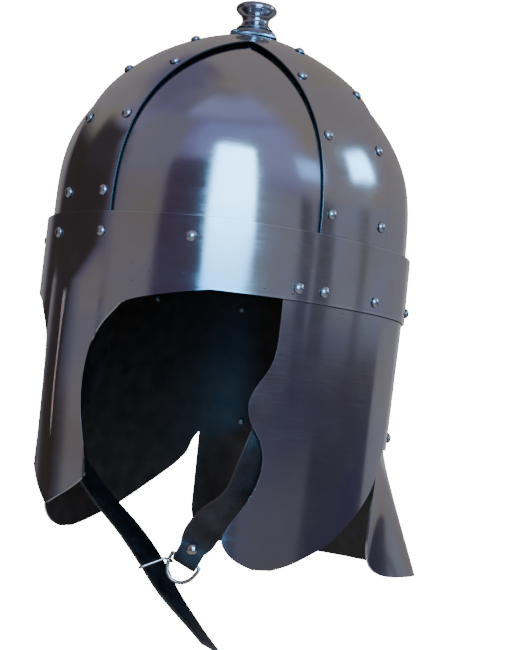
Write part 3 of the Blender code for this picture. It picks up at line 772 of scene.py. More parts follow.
def skin_rings(mesh: bmesh.types.BMesh, rings: Sequence[Sequence[bmesh.types.BMVert]], closed: bool) -> None:
    """Join rings of equal count with quads, and face them outwards.

    Args:
        mesh: Mesh that holds the rings.
        rings: Rings in order.
        closed: True where the last ring meets the first, False where both ends are capped.
    """
    pairs = list(zip(rings, rings[1:]))
    if closed:
        pairs.append((rings[-1], rings[0]))
    for start, end in pairs:
        for i in range(len(start)):
            after = (i + 1) % len(start)
            mesh.faces.new((start[i], start[after], end[after], end[i]))
    if not closed:
        mesh.faces.new(reversed(rings[0]))
        mesh.faces.new(rings[-1])
    bmesh.ops.recalc_face_normals(mesh, faces=mesh.faces)


def turned_mesh(profile: Profile, sides: int) -> bmesh.types.BMesh:
    """Turned solid about Z.

    Args:
        profile: Radius, height and painted shade, from the bottom to the top, both ends on the axis.
        sides: Number of sides.

    Returns:
        The mesh.
    """
    mesh = bmesh.new()
    soot = mesh.verts.layers.float.new(PAINTED_SHADE)
    rings: list[list[bmesh.types.BMVert]] = []
    for radius, height, tone_share in profile:
        count = 1 if radius == 0.0 else sides
        ring = []
        for i in range(count):
            turn = 4.0 * QUARTER * i / sides
            vertex = mesh.verts.new((radius * math.cos(turn), radius * math.sin(turn), height))
            vertex[soot] = tone_share
            ring.append(vertex)
        rings.append(ring * (sides if count == 1 else 1))
    for low, high in zip(rings, rings[1:]):
        for i in range(sides):
            after = (i + 1) % sides
            corners = list(dict.fromkeys((low[i], low[after], high[after], high[i])))
            mesh.faces.new(corners)
    bmesh.ops.recalc_face_normals(mesh, faces=mesh.faces)
    return mesh


# Sub-assemblies


@dataclass
class Dome:
    """Four infill plates and the cross band riveted over their joints."""

    form: HelmetForm
    arms: ArmForm
    finishes: Finishes
    infill_dip: float = 0.0013
    infill_tuck: float = 0.56
    infill_top: float = 0.033
    bulge_front: float = 0.0040
    bulge_rear: float = 0.0022
    bulge_climbs: tuple[float, float] = (0.10, 0.70)
    bulge_ease: float = 0.42
    crown_hole: float = 0.0072
    # Painted shade in the joints, and the step of the row that ends the painted shadow over the brow band
    gap_dark: float = 0.0010
    corner_dirt: float = 0.0008
    # Painted shade in a joint: its width at the foot and how much it grows, as shares of gap_dark, and how
    # black the painted shadow is in the corner over the brow band and the painted shade on cut edges
    soot_width: float = 0.35
    soot_growth: float = 0.30
    corner_soot: float = 0.85
    edge_soot: float = 0.90
    # Smallest plan size that the painted shade's width is measured on, as a share
    least_size: float = 0.2
    infill_rows: int = 44
    infill_columns: int = 56
    infill_rim: float = 0.006
    band_rows: int = 64
    band_columns: int = 14
    band_rim: float = 0.012

    def climbs(self, top_radius: float, rows: int) -> list[float]:
        """Climb angles from the plates' foot to their top, with a row on the spring line.

        Args:
            top_radius: Half width of the dome where the plate ends.
            rows: Number of rows above the spring line.

        Returns:
            Climb angles from low to high.
        """
        end = self.form.climb_of_radius(top_radius)
        low = [self.form.climb_of_height(self.form.plate_foot), 0.0]
        low.append(self.form.climb_of_rise(self.corner_dirt / self.form.dome_rise))
        return low + [end * i / rows for i in range(1, rows + 1)]

    def build_infill(self, start: Arm, end: Arm) -> bpy.types.Object:
        """Build one infill plate.

        Args:
            start: Arm over its first edge.
            end: Arm over its other edge.

        Returns:
            The object.
        """
        climbs = self.climbs(self.infill_top, self.infill_rows)
        shares = rounded_shares(self.infill_columns, self.infill_rim)
        fades, ends = self.bulge_climbs
        turn = 4.0 * QUARTER if end is Arm.FRONT else 0.0
        swell = self.bulge_front if Arm.FRONT in (start, end) else self.bulge_rear

        def angle_of(key: Key) -> float:
            """Plan angle of a vertex.

            Args:
                key: Row and column.

            Returns:
                The angle.
            """
            climb = climbs[key[0]]
            low = self.arms.edges(start, climb, self.infill_tuck)[1]
            high = self.arms.edges(end, climb, self.infill_tuck)[0] + turn
            return blend(low, high, shares[key[1]])

        def place(key: Key, depth: float) -> Vector:
            """Point of the plate.

            Args:
                key: Row and column.
                depth: Depth under the outside.

            Returns:
                The point.
            """
            climb = climbs[key[0]]
            bulge = smooth(climb / self.bulge_ease) * smooth((ends - climb) / (ends - fades))
            bulge *= swell * math.sin(2.0 * QUARTER * shares[key[1]]) ** 2
            dip = self.infill_dip * smooth(climb / climbs[-1])
            return self.form.dome_point(angle_of(key), climb, bulge - dip - depth)

        def soot_at(key: Key) -> float:
            """Painted shade in the joint, within a little of the band's edge, and a painted shadow over the
            brow band.

            Args:
                key: Row and column.

            Returns:
                Share of painted shade.
            """
            climb = climbs[key[0]]
            angle = angle_of(key)
            before = angle - self.arms.edges(start, climb)[1]
            after = self.arms.edges(end, climb)[0] + turn - angle
            width = self.gap_dark * (self.soot_width + self.soot_growth * smooth(climb / climbs[-1]))
            reach = self.form.half_width * max(self.form.crown_share(climb), self.least_size)
            beside = 1.0 - smooth(min(before, after) * reach / width)
            return max(beside, self.corner_soot if key[0] == 1 else 0.0)

        name = f"infill_{'front' if Arm.FRONT in (start, end) else 'rear'}"
        name += "_left" if Arm.LEFT in (start, end) else "_right"
        cells = grid_cells(len(climbs) - 1, len(shares) - 1)
        piece = SheetPiece(f"{name}_plate", cells, place, self.form.sheet, soot_at, rim_share=0.0)
        return piece.build(self.finishes, [name])

    def build_cross_band(self) -> bpy.types.Object:
        """Build the cross band, one plate with a hole at the crown.

        Returns:
            The object.
        """
        climbs = self.climbs(self.crown_hole, self.band_rows)
        shares = rounded_shares(self.band_columns, self.band_rim)
        last = len(shares) - 1
        arms = list(Arm)

        def key_of(arm: Arm, row: int, column: int) -> Key:
            """Key of an arm's own vertex, or of one on the seam it shares with the arm beside it.

            Args:
                arm: The arm.
                row: Row of the grid.
                column: Column of the grid.

            Returns:
                The key.
            """
            if column in (0, last):
                index = arm.value - (column == 0)
                first, second = arms[index], arms[(index + 1) % 4]
                high = self.arms.edges(first, climbs[row])[1]
                low = self.arms.edges(second, climbs[row])[0]
                low += 4.0 * QUARTER if second is Arm.FRONT else 0.0
                if high >= low:
                    return ("seam", row, (high + low) / 2.0)
            return (arm.value, row, column)

        def edge_angle(arm: Arm, row: int, column: int) -> float:
            """Plan angle of an arm's edge, held at the seam where it meets the arm beside it.

            Args:
                arm: The arm.
                row: Row of the grid.
                column: First or last column.

            Returns:
                The angle.
            """
            key = key_of(arm, row, column)
            if key[0] != "seam":
                return self.arms.edges(arm, climbs[row])[1 if column else 0]
            return key[2] - (4.0 * QUARTER if arm is Arm.FRONT and column == 0 else 0.0)

        def place(key: Key, depth: float) -> Vector:
            """Point of the band.

            Args:
                key: Arm, row and column, or a seam's key.
                depth: Depth under the outside.

            Returns:
                The point.
            """
            if key[0] == "seam":
                angle = key[2]
            else:
                arm = Arm(key[0])
                low, high = edge_angle(arm, key[1], 0), edge_angle(arm, key[1], last)
                angle = blend(low, high, shares[key[2]])
            return self.form.dome_point(angle, climbs[key[1]], self.form.band_out - depth)

        cells = [
            tuple(key_of(arm, row, column) for row, column in corners)
            for arm in arms
            for corners in grid_cells(len(climbs) - 1, last)
        ]

        def soot_at(key: Key) -> float:
            """Painted shade along the cut edges and a painted shadow over the brow band.

            Args:
                key: Arm, row and column, or a seam's key.

            Returns:
                Share of painted shade.
            """
            if key[0] == "seam":
                return 0.0
            return self.edge_soot if key[2] in (0, last) or key[1] == 1 else 0.0

        piece = SheetPiece("cross_band_plate", cells, place, self.form.sheet, soot_at, rim_share=0.0)
        return piece.build(self.finishes, ["cross_band"])

    def build(self) -> None:
        """Build the whole dome."""
        order = list(Arm)
        for arm in order:
            self.build_infill(arm, order[(arm.value + 1) % 4])
        self.build_cross_band()


@dataclass
class BrowBand:
    """Brow band and ridged nasal, cut from one plate."""

    form: HelmetForm
    finishes: Finishes
    arch_half: float = 0.078
    nasal_drop: float = 0.126
    nasal_half: float = 0.0248
    ridge_rise: float = 0.0042
    ridge_half: float = 0.0215
    ridge_start: float = 0.024
    ridge_round: float = 0.0012
    nasal_lean: float = 0.003
    nasal_lean_start: float = 0.40
    # Heights where the painted ridge highlight starts, is full, fades and ends
    rust_heights: tuple[float, float, float, float] = (-0.004, -0.016, -0.072, -0.090)
    # Height of the line that holds the rounded upper edge, and the rows under it as shares of the height
    edge_line: float = 0.0008
    band_shares: tuple[float, ...] = (0.75, 0.5, 0.25, 0.04, 0.0)
    least_half: float = 0.02
    front_columns: int = 44
    front_rim: float = 0.008
    ring_columns: int = 132
    row_steps: int = 4
    # Drop as a share of the nasal's drop, half width as a share of its half width
    rows: tuple[tuple[float, float], ...] = (
        (0.034, 2.46),
        (0.079, 1.66),
        (0.120, 1.41),
        (0.206, 1.04),
        (0.300, 0.85),
        (0.452, 0.77),
        (0.600, 0.82),
        (0.750, 0.945),
        (0.830, 1.00),
        (0.860, 0.98),
        (0.920, 0.66),
        (1.000, 0.04),
    )

    def face_offset(self, x: float, height: float) -> float:
        """How far the nasal's face stands in front of the form's outline.

        Args:
            x: Distance from the middle.
            height: Height.

        Returns:
            The distance forwards.
        """
        ridge = self.ridge_rise * smooth((self.ridge_start - height) / self.ridge_start)
        start = self.nasal_lean_start * self.nasal_drop
        lean = self.nasal_lean * smooth((-height - start) / (self.nasal_drop - start))
        away = math.hypot(x, self.ridge_round) - self.ridge_round
        return ridge * max(0.0, 1.0 - away / self.ridge_half) - lean

    def face_point(self, angle: float, height: float) -> Vector:
        """Point of the outside of the band."""
        x, y = self.form.plan_point(angle, self.form.brow_out)
        return Vector((x, y - self.face_offset(x, height), height))

    def build(self) -> bpy.types.Object:
        """Build the plate.

        Returns:
            The object.
        """
        brow = self.form.brow_height
        heights = [brow, brow - self.edge_line] + [brow * share for share in self.band_shares]
        halves = [self.arch_half] * len(heights)
        wide = (0.0, self.arch_half / self.nasal_half)
        for drop, half in curve_through([wide, *self.rows], self.row_steps)[1:]:
            heights.append(-drop * self.nasal_drop)
            halves.append(max(half, self.least_half) * self.nasal_half)
        radius = self.form.half_width + self.form.brow_out
        ring_end = self.form.angle_across(self.arch_half, radius)
        shares = rounded_shares(self.front_columns, self.front_rim)
        front = len(shares) - 1

        def place(key: Key, depth: float) -> Vector:
            """Point of the plate.

            Args:
                key: Row and column.
                depth: Depth under the outside.

            Returns:
                The point.
            """
            row, column = key
            height = heights[row]
            if column <= front:
                across = 2.0 * shares[column] - 1.0
                angle = across * self.form.angle_across(halves[row], radius)
                x, y = self.form.plan_point(angle, self.form.brow_out - depth)
                return Vector((x, y - self.face_offset(x, height), height))
            turn = (column - front) / self.ring_columns
            angle = ring_end + (4.0 * QUARTER - 2.0 * ring_end) * turn
            x, y = self.form.plan_point(angle, self.form.brow_out - depth)
            return Vector((x, y, height))

        around = front + self.ring_columns
        cells = []
        for row in range(len(heights) - 1):
            for column in range(around if heights[row + 1] >= 0.0 else front):
                after = (column + 1) % around
                cells.append(falling_cell(row, column, after))

        def rust_at(key: Key) -> float:
            """Painted highlight: a thin orange-red line on the upper half of the nasal's ridge.

            Args:
                key: Row and column.

            Returns:
                Share of the painted ridge highlight.
            """
            start, full, fade, end = self.rust_heights
            height = heights[key[0]]
            ends = smooth((start - height) / (start - full)) * smooth((height - end) / (fade - end))
            return ends if key[1] == (front + 1) // 2 else 0.0

        piece = SheetPiece("brow_band_plate", cells, place, self.form.sheet, rust_at=rust_at)
        return piece.build(self.finishes, ["brow_band_and_nasal"])


@dataclass
class Skirt:
    """Cheek and nape plate, with the flared neck guard riveted inside it."""

    form: HelmetForm
    finishes: Finishes
    top: float = 0.016
    cheek_drop: float = 0.150
    cheek_front: float = 68.5
    cheek_rear: float = 124.0
    guard_top: float = 0.062
    guard_drop: float = 0.157
    guard_edge: float = math.radians(123.0)
    guard_flare: float = 0.034
    guard_corner: float = 0.025
    guard_spread: float = 2.2
    edge_line: float = 0.0008
    # Painted shadow under the brow band's lower edge: the step of the row that ends it and how black it is
    corner_dirt: float = 0.0008
    corner_soot: float = 0.85
    lobe_columns: int = 26
    lobe_rim: float = 0.01
    nape_columns: int = 56
    guard_columns: int = 60
    guard_rim: float = 0.004
    guard_rows: int = 16
    corner_rows: int = 12
    row_steps: int = 3
    # Drop, front edge and rear edge, as shares of cheek_drop, cheek_front and cheek_rear
    rows: tuple[tuple[float, float, float], ...] = (
        (0.000, 1.000, 1.000),
        (0.160, 1.000, 1.000),
        (0.240, 0.985, 1.000),
        (0.300, 0.950, 1.000),
        (0.350, 0.916, 1.000),
        (0.400, 0.901, 1.000),
        (0.460, 0.917, 1.000),
        (0.527, 0.968, 1.000),
        (0.580, 0.987, 0.976),
        (0.640, 0.988, 0.962),
        (0.700, 0.970, 0.930),
        (0.760, 0.937, 0.885),
        (0.820, 0.892, 0.835),
        (0.870, 0.858, 0.790),
        (0.910, 0.852, 0.748),
        (0.950, 0.884, 0.692),
        (0.980, 0.935, 0.645),
        (1.000, 1.000, 0.600),
    )

    def build_cheeks(self) -> bpy.types.Object:
        """Build the plate from cheek to cheek round the back.

        Returns:
            The object.
        """
        nape = next(i for i, row in enumerate(self.rows) if row[2] < 1.0) - 1
        upper = curve_through(self.rows[: nape + 1], self.row_steps)
        lower = curve_through(self.rows[nape:], self.row_steps)
        table = upper + lower[1:]
        table.insert(1, [self.corner_dirt / self.cheek_drop, 1.0, 1.0])
        heights = [self.top] + [-row[0] * self.cheek_drop for row in table]
        fronts = [self.cheek_front] + [row[1] * self.cheek_front for row in table]
        rears = [self.cheek_rear] + [min(row[2], 1.0) * self.cheek_rear for row in table]
        lobe = rounded_shares(self.lobe_columns, self.lobe_rim)
        wide = len(lobe) - 1
        last = 2 * wide + self.nape_columns

        def place(key: Key, depth: float) -> Vector:
            """Point of the plate.

            Args:
                key: Row and column.
                depth: Depth under the outside.

            Returns:
                The point.
            """
            row, column = key
            rear = rears[row]
            if column <= wide:
                angle = blend(fronts[row], rear, lobe[column])
            elif column >= last - wide:
                angle = ROUND_DEG - blend(fronts[row], rear, lobe[last - column])
            else:
                angle = blend(rear, ROUND_DEG - rear, (column - wide) / self.nape_columns)
            x, y = self.form.plan_point(math.radians(angle), self.form.skirt_grow(heights[row]) - depth)
            return Vector((x, y, heights[row]))

        cells = []
        for row in range(len(heights) - 1):
            for column in range(last):
                if row <= len(upper) or column < wide or column >= last - wide:
                    cells.append(falling_cell(row, column, column + 1))

        def soot_at(key: Key) -> float:
            """Painted shadow under the brow band's edge."""
            return self.corner_soot if key[0] <= 1 else 0.0

        piece = SheetPiece("cheek_and_nape_sheet", cells, place, self.form.sheet, soot_at)
        return piece.build(self.finishes, ["cheek_and_nape_plate"])

    def build_guard(self) -> bpy.types.Object:
        """Build the flared guard under the nape.

        Returns:
            The object.
        """
        fall = self.guard_drop - self.guard_corner
        steps = range(1, self.guard_rows + 1)
        drops = [self.guard_top, self.guard_top + self.edge_line]
        drops += [blend(self.guard_top, fall, step / self.guard_rows) for step in steps]
        insets = [0.0] * len(drops)
        for step in range(1, self.corner_rows + 1):
            turn = QUARTER * step / self.corner_rows
            drops.append(self.guard_drop - self.guard_corner * (1.0 - math.sin(turn)))
            insets.append(self.guard_corner * (1.0 - math.cos(turn)))
        shares = rounded_shares(self.guard_columns, self.guard_rim)

        def place(key: Key, depth: float) -> Vector:
            """Point of the guard.

            Args:
                key: Row and column.
                depth: Depth under the outside.

            Returns:
                The point.
            """
            drop = drops[key[0]]
            edge = self.guard_edge + insets[key[0]] / self.form.half_depth
            angle = blend(edge, 4.0 * QUARTER - edge, shares[key[1]])
            grow = self.form.skirt_grow(-drop) - self.form.sheet - self.form.gap - depth
            x, y = self.form.plan_point(angle, grow)
            share = max(0.0, drop - self.form.nape_drop) / (self.guard_drop - self.form.nape_drop)
            inward = 1.0 - abs(angle - 2.0 * QUARTER) / (2.0 * QUARTER - self.guard_edge)
            flare = self.guard_flare * share * smooth(inward * self.guard_spread)
            return Vector((x + flare * math.sin(angle), y - flare * math.cos(angle), -drop))

        last = len(shares) - 1
        cells = [falling_cell(i, j, j + 1) for i in range(len(drops) - 1) for j in range(last)]
        piece = SheetPiece("neck_guard_plate", cells, place, self.form.sheet)
        return piece.build(self.finishes, ["neck_guard"])

    def build(self) -> None:
        """Build both plates."""
        self.build_cheeks()
        self.build_guard()


@dataclass
class Finial:
    """Turned knob on a four-cornered flange, at the crown."""

    form: HelmetForm
    finishes: Finishes
    flange: float = 0.0195
    flange_waist: float = 0.65
    flange_sheet: float = 0.0012
    knob_half: float = 0.0131
    knob_height: float = 0.0197
    spigot: float = 0.0055
    spigot_depth: float = 0.004
    groove_depth: float = 0.0005
    sides: int = 96
    # Painted shade under the flange and on its edge
    under_soot: float = 0.6
    edge_soot: float = 0.15
    seat_shares: tuple[float, ...] = (0.5, 0.7, 0.85, 1.0)
    face_shares: tuple[float, ...] = (0.93, 0.85)
    edge_line: float = 0.0004
    # The foot flares into the flange in a small hollow, darkened with painted shade: radius share, rise and
    # painted shade
    foot_rows: Profile = ((1.17, 0.0, 0.35), (1.08, 0.00025, 0.45), (1.03, 0.0006, 0.5))
    # Rings of painted shade in the knob's grooves: height share, reach and painted shade; the upper one is
    # cut in
    foot_ring: tuple[float, float, float] = (0.105, 0.03, 0.8)
    groove_ring: tuple[float, float, float] = (0.195, 0.02, 0.6)
    crown_row: tuple[float, float] = (0.45, 0.997)
    row_steps: int = 4
    # Radius as a share of knob_half, height as a share of knob_height
    rows: tuple[tuple[float, float], ...] = (
        (0.95, 0.050),
        (0.88, 0.110),
        (0.91, 0.150),
        (0.79, 0.230),
        (0.68, 0.330),
        (0.65, 0.430),
        (0.69, 0.530),
        (0.82, 0.640),
        (0.98, 0.740),
        (1.00, 0.800),
        (0.97, 0.880),
        (0.86, 0.950),
        (0.70, 0.985),
    )

    def draw_in(self, mesh: bmesh.types.BMesh, foot: float, top: float) -> None:
        """Draw the flange in between its four corners.

        Args:
            mesh: Turned finial.
            foot: Radius of the knob's foot, inside which nothing moves.
            top: Height of the flange's face over the dome.
        """
        base = self.form.crown_height(0.0, top)
        for vertex in mesh.verts:
            radius = math.hypot(vertex.co.x, vertex.co.y)
            if vertex.co.z >= base or radius <= foot:
                continue
            turn = math.atan2(vertex.co.y, vertex.co.x)
            reach = foot + (radius - foot) * (1.0 - self.flange_waist * abs(math.sin(2.0 * turn)))
            vertex.co.z += self.form.crown_height(reach, top) - self.form.crown_height(radius, top)
            vertex.co.x *= reach / radius
            vertex.co.y *= reach / radius

    def build(self) -> bpy.types.Object:
        """Build the finial.

        Returns:
            The object.
        """
        seat = self.form.band_out + self.form.gap
        top = seat + self.flange_sheet
        base = self.form.crown_height(0.0, top)
        dirty = self.under_soot
        profile = [(radius, base - self.spigot_depth, dirty) for radius in (0.0, self.spigot)]
        profile.append((self.spigot, self.form.crown_height(self.spigot, seat), dirty))
        for radius in (self.flange * share for share in self.seat_shares):
            profile.append((radius, self.form.crown_height(radius, seat), dirty))
        inner = [share * self.flange for share in self.face_shares]
        for radius in (self.flange, self.flange - self.edge_line, *inner):
            profile.append((radius, self.form.crown_height(radius, top), self.edge_soot))
        foot = self.knob_half * self.rows[0][0]
        for share, rise, tone_share in self.foot_rows:
            profile.append((foot * share, self.form.crown_height(foot * share, top) + rise, tone_share))
        for radius, height in curve_through(self.rows, self.row_steps):
            rings = (self.foot_ring, self.groove_ring)
            near_foot, near_groove = (max(0.0, 1.0 - abs(height - at) / reach) for at, reach, _ in rings)
            tone_share = max(self.foot_ring[2] * near_foot, self.groove_ring[2] * near_groove)
            pinch = self.groove_depth * near_groove
            profile.append((self.knob_half * radius - pinch, base + self.knob_height * height, tone_share))
        radius, height = self.crown_row
        profile.append((self.knob_half * radius, base + self.knob_height * height, 0.0))
        profile.append((0.0, base + self.knob_height, 0.0))
        mesh = turned_mesh(profile, self.sides)
        self.draw_in(mesh, foot, top)
        return finish_piece(mesh, "finial_turning", (self.finishes.knob,), ["finial_knob"])


@dataclass(frozen=True)
class RivetPlace:
    """Seat of one rivet: a point on the plate, the way out of it and the thickness it grips."""

    node: str
    seat: Vector
    axis: Vector
    grip: float


@dataclass
class Rivets:
    """Every round-headed rivet of the plates, as instances on points."""

    form: HelmetForm
    arms: ArmForm
    dome: Dome
    brow: BrowBand
    finial: Finial
    finishes: Finishes
    head: float = 0.0032
    rise: float = 0.0023
    tail: float = 0.0022
    tail_rise: float = 0.0008
    inset: float = 0.0070
    band_rises: tuple[float, ...] = (0.091, 0.441, 0.717)
    top_rise: float = 0.897
    brow_height: float = 0.0280
    brow_band: float = 0.0195
    brow_infill_deg: float = 40.6
    skirt_height: float = 0.0070
    skirt_degs: tuple[float, ...] = (72.6, 81.2, 102.5, 134.0)
    guard_drop: float = 0.0715
    guard_degs: tuple[float, ...] = (138.0, 222.0)
    flange_radius: float = 0.0160
    # How far a rivet goes into its plate, how high its edge stands, and the painted shade round its foot
    sunk: float = 0.0003
    lip: float = 0.00012
    foot_share: float = 0.94
    foot_soot: float = 0.9
    corner_soot: float = 0.45
    head_steps: int = 8
    # Peened end: radius as a share of tail, height as a share of tail_rise, and painted shade
    tail_rows: Profile = ((1.0, 0.4, 0.5), (0.7, 1.0, 0.3), (0.0, 1.0, 0.3))
    sunk_soot: float = 0.8
    sides: int = 20
    face_step: float = 1e-4
    hammer_spread: float = 0.04
    seed: int = 11

    def frame_of(self, face: Callable[[float, float], Vector], a: float, b: float) -> tuple[Vector, Vector]:
        """Point on a curved face and its outward normal, from small steps along it.

        Args:
            face: Point of the face for two numbers.
            a: Plan angle.
            b: Climb angle or height.

        Returns:
            The point and the normal.
        """
        step = self.face_step
        along = face(a + step, b) - face(a - step, b)
        up = face(a, b + step) - face(a, b - step)
        return face(a, b), along.cross(up).normalized()

    def places(self) -> list[RivetPlace]:
        """Seats of every plate rivet.

        Returns:
            The seats, named for their CAD nodes.
        """
        form = self.form
        made: list[RivetPlace] = []

        def add(node: str, face: Callable[[float, float], Vector], a: float, b: float, grip: float) -> None:
            """Add the seat of one node's rivet on a face."""
            made.append(RivetPlace(node, *self.frame_of(face, a, b), grip))

        def band_face(angle: float, climb: float) -> Vector:
            """Point on the outside of the cross band."""
            return form.dome_point(angle, climb, form.band_out)

        def skirt_face(angle: float, height: float) -> Vector:
            """Point on the outside of the cheek and nape plate."""
            return Vector((*form.plan_point(angle, form.skirt_grow(height)), height))

        for arm in Arm:
            label = arm.name.lower()
            for level, rise in enumerate(self.band_rises, start=1):
                climb = form.climb_of_rise(rise)
                share = 1.0 - self.inset / self.arms.half(arm, climb)
                for hand, angle in zip("ab", self.arms.edges(arm, climb, share)):
                    grip = form.band_out + self.dome.infill_dip + form.sheet
                    add(f"rivet_{label}_band_{level}{hand}", band_face, angle, climb, grip)
            climb = form.climb_of_rise(self.top_rise)
            add(f"rivet_{label}_band_4", band_face, self.arms.middle(arm), climb, form.sheet)
        band_turn = form.angle_across(self.brow_band, form.half_width)
        side_turn = math.radians(self.brow_infill_deg)
        for index, turn in enumerate((-side_turn, -band_turn, band_turn, side_turn), start=1):
            add(f"rivet_brow_{index}", self.brow.face_point, turn, self.brow_height, form.brow_out)
        for index, degrees in enumerate(self.skirt_degs, start=1):
            for hand in Hand:
                turn = hand.value * math.radians(degrees)
                node = f"rivet_skirt_{hand.name.lower()}_{index}"
                add(node, self.brow.face_point, turn, self.skirt_height, 2.0 * form.sheet)
        for index, degrees in enumerate(self.guard_degs, start=1):
            node = f"rivet_neck_guard_{index}"
            add(node, skirt_face, math.radians(degrees), -self.guard_drop, 2.0 * form.sheet)
        top = form.band_out + form.gap + self.finial.flange_sheet
        for index in range(4):
            out = Vector((math.sin(index * QUARTER), -math.cos(index * QUARTER), 0.0))
            low = form.crown_height(self.finial.flange, top)
            high = form.crown_height(self.flange_radius, top)
            slope = (high - low) / (self.finial.flange - self.flange_radius)
            seat = out * self.flange_radius + Vector((0.0, 0.0, high))
            axis = (out * slope + Vector((0.0, 0.0, 1.0))).normalized()
            made.append(RivetPlace(f"rivet_finial_{index + 1}", seat, axis, 2.0 * form.sheet))
        return made

    def head_profile(self) -> Profile:
        """Low dome with painted shade at its foot, slightly into the plate.

        Returns:
            Radius, height and painted shade, from the foot to the top.
        """
        foot = self.head * self.foot_share
        profile = [(0.0, -self.sunk, 1.0), (foot, -self.sunk, 1.0), (self.head, self.lip, self.foot_soot)]
        for step in range(1, self.head_steps):
            turn = QUARTER * step / self.head_steps
            tone_share = self.corner_soot if step == 1 else 0.0
            profile.append((self.head * math.cos(turn), self.rise * math.sin(turn), tone_share))
        profile.append((0.0, self.rise, 0.0))
        return profile

    def tail_profile(self) -> Profile:
        """Flat peened end on the inside.

        Returns:
            Radius, height and painted shade, from the foot to the top.
        """
        sunk = [(radius, -self.sunk, self.sunk_soot) for radius in (0.0, self.tail)]
        return sunk + [(r * self.tail, h * self.tail_rise, tone_share) for r, h, tone_share in self.tail_rows]

    def tree(self) -> bpy.types.NodeTree:
        """Geometry Nodes tree that sets one shape on every point, square to the point's axis.

        Returns:
            The tree.
        """
        tree = bpy.data.node_groups.new("rivets_on_points", "GeometryNodeTree")
        for name, way, kind in (
            ("Seats", "INPUT", "Geometry"),
            ("Rivet Shape", "INPUT", "Object"),
            ("Finish", "INPUT", "Material"),
            ("Hammer Spread", "INPUT", "Float"),
            ("Seed", "INPUT", "Int"),
            ("Rivets", "OUTPUT", "Geometry"),
        ):
            tree.interface.new_socket(name=name, in_out=way, socket_type=f"NodeSocket{kind}")
        given = add_node(tree, "NodeGroupInput").outputs
        axis = add_node(
            tree, "GeometryNodeInputNamedAttribute", {"Name": "axis"}, data_type="FLOAT_VECTOR"
        ).outputs["Attribute"]
        square = add_node(tree, "FunctionNodeAlignRotationToVector", {"Vector": axis}, axis="Z")
        seed = given["Seed"]
        spins = {2: 0.0, 3: 4.0 * QUARTER, "Seed": seed}
        spin = add_node(tree, "FunctionNodeRandomValue", spins, data_type="FLOAT").outputs[1]
        upright = (0.0, 0.0, 1.0)
        about = add_node(tree, "FunctionNodeAxisAngleToRotation", {"Axis": upright, "Angle": spin})
        turns = {"Rotation": square, "Rotate By": about}
        turned = add_node(tree, "FunctionNodeRotateRotation", turns, rotation_space="LOCAL")
        spread = given["Hammer Spread"]
        least = add_node(tree, "ShaderNodeMath", [1.0, spread], operation="SUBTRACT")
        most = add_node(tree, "ShaderNodeMath", [1.0, spread], operation="ADD")
        sizes = {2: least, 3: most, "Seed": seed}
        size = add_node(tree, "FunctionNodeRandomValue", sizes, data_type="FLOAT").outputs[1]
        taken = add_node(tree, "GeometryNodeObjectInfo", {"Object": given["Rivet Shape"]})
        shape = taken.outputs["Geometry"]
        seats = {"Points": given["Seats"], "Instance": shape, "Rotation": turned, "Scale": size}
        placed = add_node(tree, "GeometryNodeInstanceOnPoints", seats)
        real = add_node(tree, "GeometryNodeRealizeInstances", {"Geometry": placed})
        dressed = add_node(tree, "GeometryNodeSetMaterial", {"Geometry": real, "Material": given["Finish"]})
        add_node(tree, "NodeGroupOutput", {"Rivets": dressed})
        return tree

    def set_on(
        self,
        tree: bpy.types.NodeTree,
        name: str,
        points: Sequence[tuple[Vector, Vector]],
        profile: Profile,
        nodes: Sequence[str],
    ) -> bpy.types.Object:
        """Set one turned shape on points and make the result a plain mesh.

        Args:
            tree: Geometry Nodes tree.
            name: Name of the piece.
            points: Seats and axes.
            profile: Turned shape.
            nodes: CAD nodes that it stands for.

        Returns:
            The object.
        """
        shape_mesh = bpy.data.meshes.new(f"{name}_shape")
        turned = turned_mesh(profile, self.sides)
        turned.to_mesh(shape_mesh)
        turned.free()
        shape_mesh.shade_smooth()
        shape = bpy.data.objects.new(f"{name}_shape", shape_mesh)
        seats_mesh = bpy.data.meshes.new(f"{name}_seats")
        seats_mesh.from_pydata([seat for seat, _ in points], [], [])
        axes = seats_mesh.attributes.new("axis", "FLOAT_VECTOR", "POINT")
        axes.data.foreach_set("vector", [value for _, axis in points for value in axis])
        seats = new_object(f"{name}_seats", seats_mesh)
        modifier = seats.modifiers.new("rivets_on_points", "NODES")
        modifier.node_group = tree
        values = {
            "Rivet Shape": shape,
            "Finish": self.finishes.rivet,
            "Hammer Spread": self.hammer_spread,
            "Seed": self.seed,
        }
        for item in tree.interface.items_tree:
            if item.in_out == "INPUT" and item.name in values:
                modifier[item.identifier] = values[item.name]
        graph = bpy.context.evaluated_depsgraph_get()
        mesh = bpy.data.meshes.new_from_object(seats.evaluated_get(graph), depsgraph=graph)
        mesh.name = name
        for helper in (seats, shape):
            bpy.data.objects.remove(helper, do_unlink=True)
        piece = new_object(name, mesh)
        settle_piece(piece, nodes)
        return piece

    def build(self) -> None:
        """Build the heads, which stand for the CAD rivets, and their peened ends."""
        places = self.places()
        tree = self.tree()
        heads = [(place.seat, place.axis) for place in places]
        self.set_on(tree, "plate_rivet_heads", heads, self.head_profile(), [place.node for place in places])
        inside = [
            (place.seat - place.axis * (place.grip + self.form.sheet), -place.axis)
            for place in places
            if not place.node.startswith("rivet_finial")
        ]
        self.set_on(tree, "plate_rivet_ends", inside, self.tail_profile(), [])


